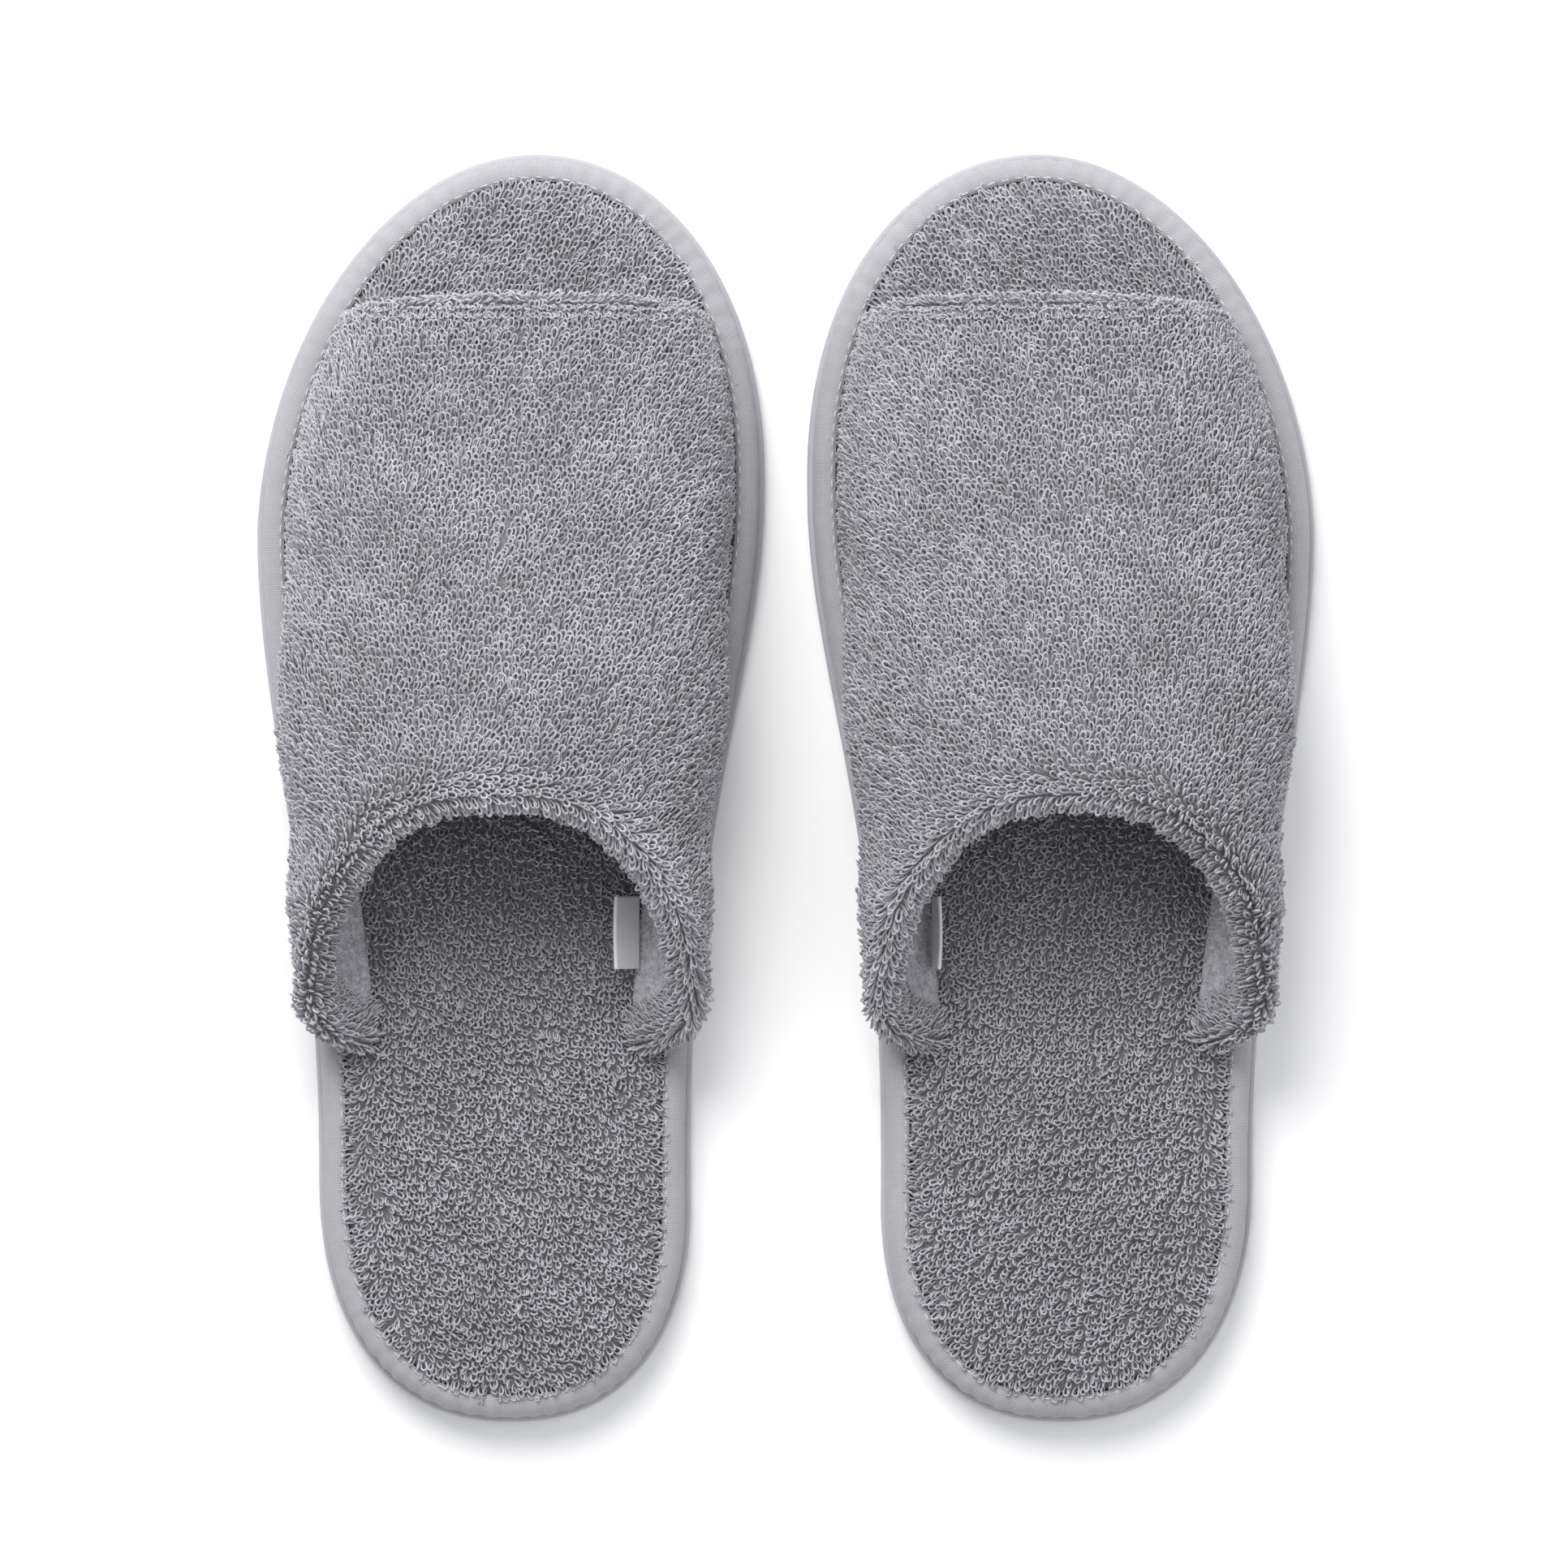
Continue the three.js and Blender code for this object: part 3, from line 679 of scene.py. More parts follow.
def label_material(name, colour):
    """White twill ribbon, with painted shade in the grooves of its twill and ribs."""

    def build(graph):
        u, v = cloth_uv(graph)
        twill = ((u + v * 1.6) * (2 * math.pi / TWILL_PITCH)).math("SINE").ramp(-0.8, 0.8)
        ribs = (u * (2 * math.pi / (TWILL_PITCH * 0.6))).math("SINE").ramp(-1, 1)
        # Painted shade: the colour is darker in the twill's grooves and between the ribs, where the bump also
        # dips, and lighter on the raised lines.
        tone = twill * 0.75 + ribs * 0.25
        return {"Base Color": graph.mixed(tone, shade(colour, 0.8), shade(colour, 1.03)),
                "Roughness": tone.ramp(0, 1, 0.75, 0.5),
                "Normal": bump(graph, tone, 0.06 * MM)}

    return new_material(name, build, **{"Sheen Weight": 0.1})


def thread_material(name, colour):
    """Two-ply thread with its twist along the stitch, drawn as painted light and shade: lighter on each ply's
    crown, darker in the groove between the plies.
    """

    def build(graph):
        x, y, z = graph.parts(object_place(graph))
        run = x + y + z
        ply = (run * (2 * math.pi / PLY_PITCH)).math("SINE").ramp(-1, 1)
        # Painted shade: the ply stripes darken the thread in the grooves between its plies.
        return {"Base Color": graph.mixed(ply, shade(colour, 0.7), shade(colour, 1.05))}

    return new_material(name, build, Roughness=0.6)


def sole_material(name, colour):
    """Closed-cell foam with a fine moulded grain, a little scuffed."""

    def build(graph):
        grain = object_noise(graph, 2600, 2)
        scuff = object_noise(graph, 35, 4).ramp(0.45, 0.75)
        tone = grain * 0.35 + (1 - scuff) * 0.65
        return {"Base Color": graph.mixed(tone, shade(colour, 0.86), shade(colour, 1.06)),
                "Roughness": scuff.ramp(0, 1, 0.55, 0.72),
                "Normal": bump(graph, grain, 0.05 * MM, 0.6)}

    return new_material(name, build, **{"Specular IOR Level": 0.35})


def board_material(name, colour):
    def build(graph):
        fibre = object_noise(graph, 900, 5)
        return {"Base Color": graph.mixed(fibre, shade(colour, 0.75), shade(colour, 1.15)),
                "Normal": bump(graph, fibre, 0.1 * MM)}

    return new_material(name, build, Roughness=0.9)


def foam_material(name, colour):
    def build(graph):
        cells = graph.num("ShaderNodeTexVoronoi", None, {"Vector": object_place(graph), "Scale": 1500.0})
        return {"Base Color": graph.mixed(cells, shade(colour, 0.8), shade(colour, 1.05)),
                "Normal": bump(graph, cells, 0.2 * MM)}

    return new_material(name, build, Roughness=0.95)


def materials():
    """Every material, made once from the scene's colours."""
    if not MATERIALS:
        colours = bpy.context.scene.slipper_colours
        MATERIALS["yarn"] = yarn_material("Terry_loops", colours.terry)
        MATERIALS["ground"] = painted_shade_ground_material("Terry_ground_painted_shade", colours.terry)
        MATERIALS["tape"] = tape_material("Bias_tape", colours.tape)
        MATERIALS["thread"] = thread_material("Sewing_thread", colours.thread)
        MATERIALS["lining"] = lining_material("Brushed_lining", colours.lining)
        MATERIALS["label"] = label_material("Label_ribbon", colours.label)
        MATERIALS["outsole"] = sole_material("Sole_foam", colours.outsole)
        MATERIALS["board"] = board_material("Fibre_board", colours.board)
        MATERIALS["foam"] = foam_material("Padding_foam", colours.foam)
    return MATERIALS


# ---- Geometry Nodes ------------------------------------------------------------------------------------------


class NodeModifier:
    """A geometry tree with named inputs, run as a modifier and turned into a plain mesh."""

    def __init__(self, name, inputs):
        self.tree = bpy.data.node_groups.new(name, "GeometryNodeTree")
        self.tree.is_modifier = True
        self.sockets = {}
        self.tree.interface.new_socket("Geometry", in_out="INPUT", socket_type="NodeSocketGeometry")
        for label, kind in inputs.items():
            made = self.tree.interface.new_socket(label, in_out="INPUT", socket_type=f"NodeSocket{kind}")
            self.sockets[label] = made.identifier
        self.tree.interface.new_socket("Geometry", in_out="OUTPUT", socket_type="NodeSocketGeometry")
        self.graph = Graph(self.tree)
        self.source = self.graph.node("NodeGroupInput")

    def input(self, label):
        return self.source.outputs[label]

    def number(self, label):
        return Num(self.graph, self.input(label))

    def end(self, geometry):
        """Sets the material and closes the tree."""
        graph = self.graph
        finished = graph.out("GeometryNodeSetMaterial", None,
                             {"Geometry": geometry, "Material": self.input("Material")})
        output = graph.node("NodeGroupOutput")
        self.tree.links.new(finished, output.inputs[0])

    def run(self, item, values):
        modifier = item.modifiers.new(self.tree.name, "NODES")
        modifier.node_group = self.tree
        for label, value in values.items():
            modifier[self.sockets[label]] = value
        return apply_modifiers(item)


def named(graph, name, kind="FLOAT_VECTOR"):
    return graph.out("GeometryNodeInputNamedAttribute", {"data_type": kind}, {"Name": name})


def named_number(graph, name):
    return Num(graph, named(graph, name, "FLOAT"))


def random_number(graph, low, high, seed):
    values = {2: low, 3: high, "Seed": seed}
    return graph.num("FunctionNodeRandomValue", {"data_type": "FLOAT"}, values, 1)


def yarn_loop(tree, twist):
    """One loop of yarn that stands on the origin: two legs close together and a round head, a little twisted."""
    graph = tree.graph
    line = graph.out("GeometryNodeCurvePrimitiveLine", None, {"Start": (0.0, 0.0, 0.0), "End": (0.0, 0.0, 1.0)})
    steps = graph.out("GeometryNodeResampleCurve", {"mode": "COUNT"}, {"Curve": line, "Count": 8})
    factor = graph.num("GeometryNodeSplineParameter", None, None, "Factor")
    # Steps are closer together round the head of the loop than along its legs
    angle = factor * (2 * math.pi) + (factor * (2 * math.pi)).math("SINE") * 0.42
    half = angle / 2
    neck = half.math("SINE").math("ABSOLUTE") ** 0.7
    x = angle.math("SINE") * neck * 0.62
    z = (1 - angle.math("COSINE")) * 0.5
    y = half.math("COSINE") * twist
    width = tree.number("Loop width")
    place = graph.xyz(x * width, y * width, z * tree.number("Loop length") - LOOP_ROOT)
    shaped = graph.out("GeometryNodeSetPosition", None, {"Geometry": steps, "Position": place})
    marked = graph.stored(shaped, "run", factor)
    yarn = graph.out("GeometryNodeCurvePrimitiveCircle", {"mode": "RADIUS"},
                     {"Resolution": 3, "Radius": tree.input("Yarn radius")})
    side = graph.out("GeometryNodeSplineParameter", None, None, "Factor")
    profile = graph.stored(yarn, "side", side)
    mesh = graph.out("GeometryNodeCurveToMesh", None,
                     {"Curve": marked, "Profile Curve": profile, "Fill Caps": True})
    smooth_mesh = graph.out("GeometryNodeSetShadeSmooth", None, {"Geometry": mesh})
    return graph.out("GeometryNodeGeometryToInstance", None, {0: smooth_mesh})


def terry_pile_tree():
    """Stands a loop of yarn on every vertex, leaning the way its `lay` says, stirred by soft noise."""
    tree = NodeModifier("Terry pile", {
        "Loop length": "Float", "Loop width": "Float", "Yarn radius": "Float", "Swirl": "Float",
        "Scatter": "Float", "Swirl size": "Float", "Seed": "Int", "Material": "Material",
    })
    graph = tree.graph
    seed = tree.number("Seed")
    cloud = graph.out("GeometryNodeMeshToPoints", None, {"Mesh": tree.input("Geometry")})
    tint = random_number(graph, 0.0, 1.0, seed + 5)
    points = graph.stored(cloud, "tint", tint)
    place = graph.out("GeometryNodeInputPosition")
    spot = graph.scaled(place, tree.number("Swirl size") ** -1)
    noise_1 = graph.num("ShaderNodeTexNoise", {"noise_dimensions": "4D"},
                        {"Vector": spot, "W": seed * 1.37, "Scale": 1.0, "Detail": 2.0})
    noise_2 = graph.num("ShaderNodeTexNoise", {"noise_dimensions": "4D"},
                        {"Vector": spot, "W": seed * 2.11 + 9.0, "Scale": 1.7, "Detail": 2.0})
    up = named(graph, "up")
    stir = named_number(graph, "stir")
    turn = (noise_1 - 0.5) * tree.number("Swirl") + random_number(graph, -1.0, 1.0, seed) * tree.number("Scatter")
    lay = graph.out("ShaderNodeVectorRotate", {"rotation_type": "AXIS_ANGLE"},
                    {"Vector": named(graph, "lay"), "Axis": up, "Angle": turn * stir})
    lean = named_number(graph, "lean") + (noise_2 - 0.5) * 0.9 + random_number(graph, -0.22, 0.22, seed + 1)
    stand = graph.vector("ADD", graph.scaled(up, lean.math("COSINE")), graph.scaled(lay, lean.math("SINE")))
    face = graph.vector("CROSS_PRODUCT", stand, lay)
    level = graph.out("FunctionNodeAxesToRotation", {"primary_axis": "Z", "secondary_axis": "X"},
                      {0: stand, 1: face})
    spin = graph.xyz(z=random_number(graph, -1.0, 1.0, seed + 2) * 0.75 * stir)
    turned = graph.out("FunctionNodeRotateRotation", {"rotation_space": "LOCAL"},
                       {"Rotation": level, "Rotate By": graph.out("FunctionNodeEulerToRotation", None, {0: spin})})
    longer = random_number(graph, 0.8, 1.2, seed + 3) * named_number(graph, "grow")
    wider = random_number(graph, 0.85, 1.15, seed + 4)
    scale = graph.xyz(wider, wider, longer)
    shapes = graph.node("GeometryNodeJoinGeometry")
    for twist in (0.16, -0.2, 0.05):
        graph.tree.links.new(yarn_loop(tree, twist), shapes.inputs[0])
    loops = graph.out("GeometryNodeInstanceOnPoints", None, {
        "Points": points, "Instance": shapes.outputs[0], "Pick Instance": True,
        "Instance Index": graph.out("FunctionNodeRandomValue", {"data_type": "INT"},
                                    {4: 0, 5: 2, "Seed": seed + 6}, 2),
        "Rotation": turned, "Scale": scale})
    real = graph.out("GeometryNodeRealizeInstances", None, {"Geometry": loops})
    # Each loop gets a square of its own in the OFBake UV map
    local = graph.xyz(named_number(graph, "run"), named_number(graph, "side"))
    corner = graph.vector("MULTIPLY_ADD", local, named(graph, "cell_size"), named(graph, "cell"))
    tree.end(graph.stored(real, "OFBake", corner, "FLOAT2", "CORNER"))
    return tree


def stitch_row_tree():
    """Lays stitches along a line, one every pitch, each a short bead of thread."""
    tree = NodeModifier("Stitch row", {"Pitch": "Float", "Stitch length": "Float", "Thread radius": "Float",
                                       "Seed": "Int", "Material": "Material"})
    graph = tree.graph
    line = graph.out("GeometryNodeMeshToCurve", None, {"Mesh": tree.input("Geometry")})
    row = graph.out("GeometryNodeResampleCurve", {"mode": "LENGTH"},
                    {"Curve": line, "Length": tree.input("Pitch")})
    bead = graph.out("GeometryNodeMeshUVSphere", None, {"Segments": 6, "Rings": 6, "Radius": 1.0})
    bead = graph.out("GeometryNodeSetShadeSmooth", None, {"Geometry": bead})
    tangent = graph.out("GeometryNodeInputTangent")
    level = graph.out("FunctionNodeAxesToRotation", {"primary_axis": "X", "secondary_axis": "Z"},
                      {0: tangent, 1: (0.0, 0.0, 1.0)})
    seed = tree.number("Seed")
    scale = graph.xyz(tree.number("Stitch length") * 0.5 * random_number(graph, 0.85, 1.1, seed),
                      tree.number("Thread radius") * random_number(graph, 0.9, 1.15, seed + 1),
                      tree.number("Thread radius"))
    beads = graph.out("GeometryNodeInstanceOnPoints", None,
                      {"Points": row, "Instance": bead, "Rotation": level, "Scale": scale})
    tree.end(graph.out("GeometryNodeRealizeInstances", None, {"Geometry": beads}))
    return tree


def tread_tree():
    """Cuts straight grooves across the underside, one every pitch."""
    tree = NodeModifier("Tread grooves", {"Groove width": "Float", "Groove depth": "Float", "Pitch": "Float",
                                          "First": "Float", "Count": "Int", "Material": "Material"})
    graph = tree.graph
    line = graph.out("GeometryNodeMeshLine", {"mode": "OFFSET"}, {
        "Count": tree.input("Count"), "Start Location": graph.xyz(y=tree.input("First")),
        "Offset": graph.xyz(y=tree.input("Pitch"))})
    size = graph.xyz(1.0, tree.input("Groove width"), tree.number("Groove depth") * 2)
    cutter = graph.out("GeometryNodeMeshCube", None, {"Size": size})
    cutters = graph.out("GeometryNodeInstanceOnPoints", None, {"Points": line, "Instance": cutter})
    solid = graph.out("GeometryNodeRealizeInstances", None, {"Geometry": cutters})
    cut = graph.node("GeometryNodeMeshBoolean", {"operation": "DIFFERENCE", "solver": "EXACT"},
                     {0: tree.input("Geometry")})
    graph.tree.links.new(solid, cut.inputs[1])
    tree.end(cut.outputs[0])
    return tree


def tree_named(name):
    if name not in TREES:
        TREES[name] = {"pile": terry_pile_tree, "stitches": stitch_row_tree, "tread": tread_tree}[name]()
    return TREES[name]


def pile_piece(name, feet, foot, sizes, seed):
    """Terry loops on a set of feet, each with its place, `up`, `lay`, `lean`, `grow` and `stir`."""
    count = len(feet["place"])
    mesh = bpy.data.meshes.new(name)
    mesh.from_pydata(to_frame(feet["place"], foot).tolist(), [], [])
    side = math.ceil(math.sqrt(count))
    spot = np.arange(count)
    cell = np.stack([spot % side + 0.2, spot // side + 0.2, np.zeros(count)], axis=1) / side
    vectors = {"up": turned_to_frame(unit(feet["up"]), foot), "lay": turned_to_frame(unit(feet["lay"]), foot),
               "cell": cell, "cell_size": np.tile([0.6 / side, 0.6 / side, 0], (count, 1))}
    for key, value in vectors.items():
        layer = mesh.attributes.new(key, "FLOAT_VECTOR", "POINT")
        layer.data.foreach_set("vector", value.astype(np.float32).ravel())
    for key in ("lean", "grow", "stir"):
        layer = mesh.attributes.new(key, "FLOAT", "POINT")
        layer.data.foreach_set("value", np.broadcast_to(feet[key], count).astype(np.float32))
    item = new_object(name, mesh)
    tree_named("pile").run(item, {
        "Loop length": sizes.loop_length, "Loop width": sizes.loop_width, "Yarn radius": sizes.yarn_radius,
        "Swirl": sizes.swirl, "Scatter": sizes.scatter, "Swirl size": sizes.swirl_size, "Seed": seed,
        "Material": materials()["yarn"]})
    for key in ("up", "lay", "lean", "grow", "stir", "cell", "cell_size", "run", "side"):
        layer = item.data.attributes.get(key)
        if layer is not None:
            item.data.attributes.remove(layer)
    return item


# ---- Sole pieces ---------------------------------------------------------------------------------------------


def swept_round(name, section, foot, count=420, wobble=None):
    """A closed section of (inset, height) points swept round the sole's edge, with its UV map in metres."""
    line, inward = sole_outline(count)
    section = np.array(section)
    run = SOLE_PERIMETER * np.arange(count) / count
    girth = run_along(section)
    points = np.zeros((count, len(section), 3))
    points[..., :2] = line[:, None, :] + inward[:, None, :] * section[None, :, :1]
    points[..., 2] = section[None, :, 1]
    if wobble is not None:
        points += wobble(points, inward, section)
    flat = points.reshape(-1, 3)
    faces = grid_faces(count, len(section), wrap_rows=True, wrap_columns=True)
    item = mesh_object(name, flat, flipped(faces), foot)
    uv = np.stack(np.broadcast_arrays(run[:, None], girth[None, :]), axis=-1).reshape(-1, 2)
    set_uv(item, uv, SOLE_PERIMETER)
    return item


SOLE_PERIMETER = float(np.linalg.norm(np.diff(np.vstack([OUTLINE, OUTLINE[:1]]), axis=0), axis=1).sum())


def arc(centre, radius, start, end, steps):
    angles = np.linspace(math.radians(start), math.radians(end), steps + 1)
    return [(centre[0] + radius * math.cos(a), centre[1] + radius * math.sin(a)) for a in angles]


def make_outsole(foot, sizes):
    """Foam sole with softly rounded edges and grip grooves across its underside."""
    line, inward = sole_outline(360)
    thickness, edge = OUTSOLE_HIGH.z, 0.9 * MM
    wall = (arc((edge, edge), edge, 270, 180, 4) + arc((edge, thickness - edge), edge, 180, 90, 4))
    count = len(line)
    rings = [np.column_stack([line + inward * inset, np.full(count, z)]) for inset, z in wall]
    points = np.vstack(rings)
    faces = flipped(grid_faces(len(wall), count, wrap_columns=True))
    faces.append(tuple(reversed(range(count))))
    faces.append(tuple(range((len(wall) - 1) * count, len(wall) * count)))
    item = mesh_object(f"{foot}_sole", points, faces, foot, shade_smooth=False)
    grooves = int((SOLE_LENGTH - 2 * sizes.tread_margin) / sizes.tread_pitch)
    first = HEEL_Y + (SOLE_LENGTH - (grooves - 1) * sizes.tread_pitch) / 2
    tree_named("tread").run(item, {
        "Groove width": sizes.groove_width, "Groove depth": sizes.groove_depth, "Pitch": sizes.tread_pitch,
        "First": first, "Count": grooves, "Material": materials()["outsole"]})
    item.data.shade_smooth()
    item.data.set_sharp_from_angle(angle=math.radians(40))
    return finish_piece(item, foot, materials()["outsole"], ["outsole"])


def make_tape(foot, sizes):
    """Bias tape rolled round the footbed's edge, drawn up in small puckers where it turns a tight curve."""
    middle = (TAPE_LOW.z + TAPE_HIGH.z) / 2
    centre = (TAPE_SETBACK + TAPE_RADIUS, middle)
    inner = TAPE_RADIUS - sizes.tape_thickness
    section = ([(TAPE_EDGE, TAPE_HIGH.z)] + arc(centre, TAPE_RADIUS, 90, 270, 14)
               + [(TAPE_EDGE, TAPE_LOW.z), (TAPE_EDGE, TAPE_LOW.z + sizes.tape_thickness)]
               + arc(centre, inner, 270, 90, 8) + [(TAPE_EDGE, TAPE_HIGH.z - sizes.tape_thickness)])

    def puckers(points, inward, section):
        """Ripples across the tape, strongest at the toe and the heel, and a slight unevenness everywhere."""
        y = points[:, 0, 1]
        tight = np.maximum(between(*PUCKERED["toe"], y), between(*PUCKERED["heel"], y))
        run = SOLE_PERIMETER * np.arange(len(points)) / len(points)
        rim = np.column_stack([points[:, 0, :2], np.zeros(len(points))])
        phase = wave(rim, 9 * MM, SEED[foot])
        ripple = np.sin(2 * math.pi * run / sizes.pucker_pitch + 4 * phase)
        uneven = wave(rim, 5 * MM, SEED[foot] + 3)
        size = sizes.pucker_depth * (tight * ripple + 0.6 * uneven)
        away = np.stack([section[:, 0] - centre[0], section[:, 1] - middle], axis=1)
        away /= np.maximum(np.linalg.norm(away, axis=1), 1e-9)[:, None]
        shift = np.zeros_like(points)
        shift[..., :2] = inward[:, None, :] * (away[None, :, :1] * size[:, None, None])
        shift[..., 2] = away[None, :, 1] * size[:, None]
        return shift

    item = swept_round(f"{foot}_bias_tape", section, foot, 520, puckers)
    finish_piece(item, foot, materials()["tape"], ["edge_binding"])
    return item


def make_stitching(foot, sizes):
    """The row of stitches along the tape's inner edge."""
    line, inward = sole_outline(600)
    inset = TAPE_EDGE - 0.55 * TAPE_LEG
    height = TAPE_HIGH.z + 0.35 * sizes.thread_radius
    points = np.column_stack([line + inward * inset, np.full(len(line), height)])
    mesh = bpy.data.meshes.new(f"{foot}_stitches")
    count = len(points)
    mesh.from_pydata(to_frame(points, foot).tolist(), [(i, (i + 1) % count) for i in range(count)], [])
    item = new_object(f"{foot}_stitches", mesh)
    tree_named("stitches").run(item, {
        "Pitch": sizes.stitch_pitch, "Stitch length": sizes.stitch_length, "Thread radius": sizes.thread_radius,
        "Seed": SEED[foot], "Material": materials()["thread"]})
    return finish_piece(item, foot, materials()["thread"], ["binding_stitching"])


HEM = OUTLINE + OUTLINE_INWARD * (TAPE_EDGE - HEM_UNDER_TAPE)
HEM_LOW, HEM_HIGH = HEM[:, 1].min(), HEM[:, 1].max()


def cover_height(distance, sizes):
    """Height of the footbed's ground cloth, by the distance inside the sole's edge."""
    ground = COVER_TOP - sizes.pile_depth
    rise = np.clip((distance - TAPE_EDGE) / sizes.cover_shoulder, 0, 1)
    return ground - sizes.cover_drop * (1 - np.sqrt(1 - (1 - rise) ** 2))


def spine_of(points):
    """The nearest point of the footbed's middle line."""
    y = np.clip(points[:, 1], HEEL_STATION * 0.75, 235 * MM)
    x = (sole_edge("medial", y) + sole_edge("lateral", y)) / 2
    return np.column_stack([x, y])


def footbed_places(rows, columns):
    """Places on the footbed: rows across it, from the heel to the toe, closer together near its edge."""
    low, high = HEM_LOW + 0.02 * MM, HEM_HIGH - 0.02 * MM
    ys = low + (high - low) * crowded(rows)
    over = crowded(columns)
    xs = mix(hem_edge("lateral", ys)[:, None], hem_edge("medial", ys)[:, None], over[None, :])
    return np.stack([xs, np.broadcast_to(ys[:, None], xs.shape), np.zeros(xs.shape)], axis=-1)


def hem_edge(side, y):
    """The edge of the footbed's cloth, under the tape."""
    half = HEM[(HEM[:, 0] - spine_of(HEM)[:, 0]) * SIDE_SIGN[side] > 0]
    order = np.argsort(half[:, 1])
    return np.interp(y, half[order, 1], half[order, 0])


def footbed_height(at, foot, sizes):
    """Height of the footbed's ground cloth at places given by x and y."""
    plain = cover_height(rim_distance(at), sizes) + sizes.cover_unevenness * wave(at, 14 * MM, SEED[foot])
    if (foot, "footbed") not in SWELLS:
        grid = footbed_places(56, 30)
        flat = grid.reshape(-1, 3)
        grid[..., 2] = cover_height(rim_distance(flat), sizes).reshape(grid.shape[:2])
        SWELLS[foot, "footbed"] = Swell(grid, CLOTH_PRESSURE, sizes.footbed_swell, SEED[foot] + 5)
    left, right = hem_edge("lateral", at[:, 1]), hem_edge("medial", at[:, 1])
    over = np.clip((at[:, 0] - left) / np.maximum(right - left, MM), 0, 1)
    down = np.clip((at[:, 1] - HEM_LOW) / (HEM_HIGH - HEM_LOW), 0, 1)
    return plain + SWELLS[foot, "footbed"].at(np.arccos(1 - 2 * down) / math.pi, np.arccos(1 - 2 * over) / math.pi)


def make_cover(foot, sizes):
    """The ground cloth of the footbed, crowned over the foam."""
    rows, columns = 120, 60
    at = footbed_places(rows, columns).reshape(-1, 3)
    flat = np.column_stack([at[:, :2], footbed_height(at, foot, sizes)])
    faces = flipped(grid_faces(rows, columns))
    item = mesh_object(f"{foot}_footbed", flat, faces, foot)
    thicken(item, sizes.ground_thickness)
    finish_piece(item, foot, materials()["ground"], ["footbed_cover"])
    return item


def label_joint(foot):
    return next(j for j in frame["joints"] if j["name"] == f"{foot}_label_flip")


def label_pivot(foot):
    """The middle of the care label's seam."""
    return np.array(label_joint(foot)["pos_m"], float)


def footbed_feet(foot, sizes):
    """Where the footbed's loops stand: rows and wales, wider apart where the band hides them."""
    rng = np.random.default_rng(SEED[foot])
    groups = []
    start, end = HIDDEN_FOOTBED
    for low, high, pitch in ((0, start, sizes.loop_pitch), (start, end, sizes.hidden_pitch),
                             (end, SOLE_LENGTH, sizes.loop_pitch)):
        ys = np.arange(low, high, pitch)
        xs = np.arange(-BALL_WIDTH / 2, BALL_WIDTH / 2 + TOE_SKEW, pitch)
        grid = np.stack(np.meshgrid(xs, ys), axis=-1).reshape(-1, 2)
        grid[:, 0] += np.where(np.round((grid[:, 1] - low) / pitch) % 2, pitch / 2, 0)
        grid += rng.normal(0, pitch * LOOP_JITTER, grid.shape)
        groups.append(grid)
    spots = np.vstack(groups)
    at = np.column_stack([spots, np.zeros(len(spots))])
    distance = rim_distance(at)
    under_wall = ((distance < BAND_SEAM_INSET + BAND_THICKNESS * 0.7) & (distance > BAND_SEAM_INSET)
                  & (spots[:, 1] > WING_END + 3 * MM) & (spots[:, 1] < BAND_FRONT - 3 * MM))
    keep = (distance > TAPE_EDGE + 0.15 * MM) & ~under_wall
    spots, distance, at = spots[keep], distance[keep], at[keep]
    place = np.column_stack([spots, footbed_height(at, foot, sizes)])
    out = -np.column_stack([*(spine_of(place) - spots).T, np.zeros(len(spots))])
    near_edge = smooth(1 - (distance - TAPE_EDGE) / FOOTBED_EDGE_TURN)
    up = unit(np.array([0, 0, 1]) + unit(out) * (0.55 * near_edge**2)[:, None])
    toe = between(*TOE_TURN, spots[:, 1])
    ahead = np.array([0.25, 1.0, 0]) * mix(-0.4, 1.0, toe)[:, None]
    lay = ahead + unit(out) * (near_edge * 1.2)[:, None] + np.array([0.35, 0, 0])
    lay = across_to(up, lay)
    # The loops that the care label can reach are pressed a little flatter
    reach = np.abs(to_frame(place, foot) - label_pivot(foot))
    pressed = (reach[:, 0] < sizes.label_reach + PRESSED_MARGIN) & (reach[:, 1] < PRESSED_HALF_LENGTH)
    return {"place": place, "up": up, "lay": lay, "lean": mix(0.68, 1.15, toe),
            "grow": mix(0.95, 1.05, toe) * np.where(pressed, PRESSED_LOOPS, 1.0), "stir": mix(1.25, 0.6, toe)}


def pick(feet, keep):
    return {key: (value[keep] if np.ndim(value) else value) for key, value in feet.items()}


def make_footbed_pile(foot, sizes):
    feet = footbed_feet(foot, sizes)
    y = feet["place"][:, 1]
    made = []
    for k, (zone, (low, high)) in enumerate(FOOTBED_ZONES.items()):
        part = pick(feet, (y >= low) & (y < high))
        item = pile_piece(f"{foot}_footbed_pile_{zone}", part, foot, sizes, SEED[foot] + k)
        made.append(finish_piece(item, foot))
    return made


# ---- Band pieces ---------------------------------------------------------------------------------------------


def band_edges(count, sizes):
    return [BandEdge(which, count, sizes.pile_depth) for which in ("front", "rear")]


def band_limits(across, sizes):
    """Where the band's face turns over at the toe opening and at the throat."""
    ends = []
    for edge in band_edges(400, sizes):
        order = np.argsort(edge.face_across)
        ends.append(np.interp(across, edge.face_across[order], edge.face_y[order]))
    return ends


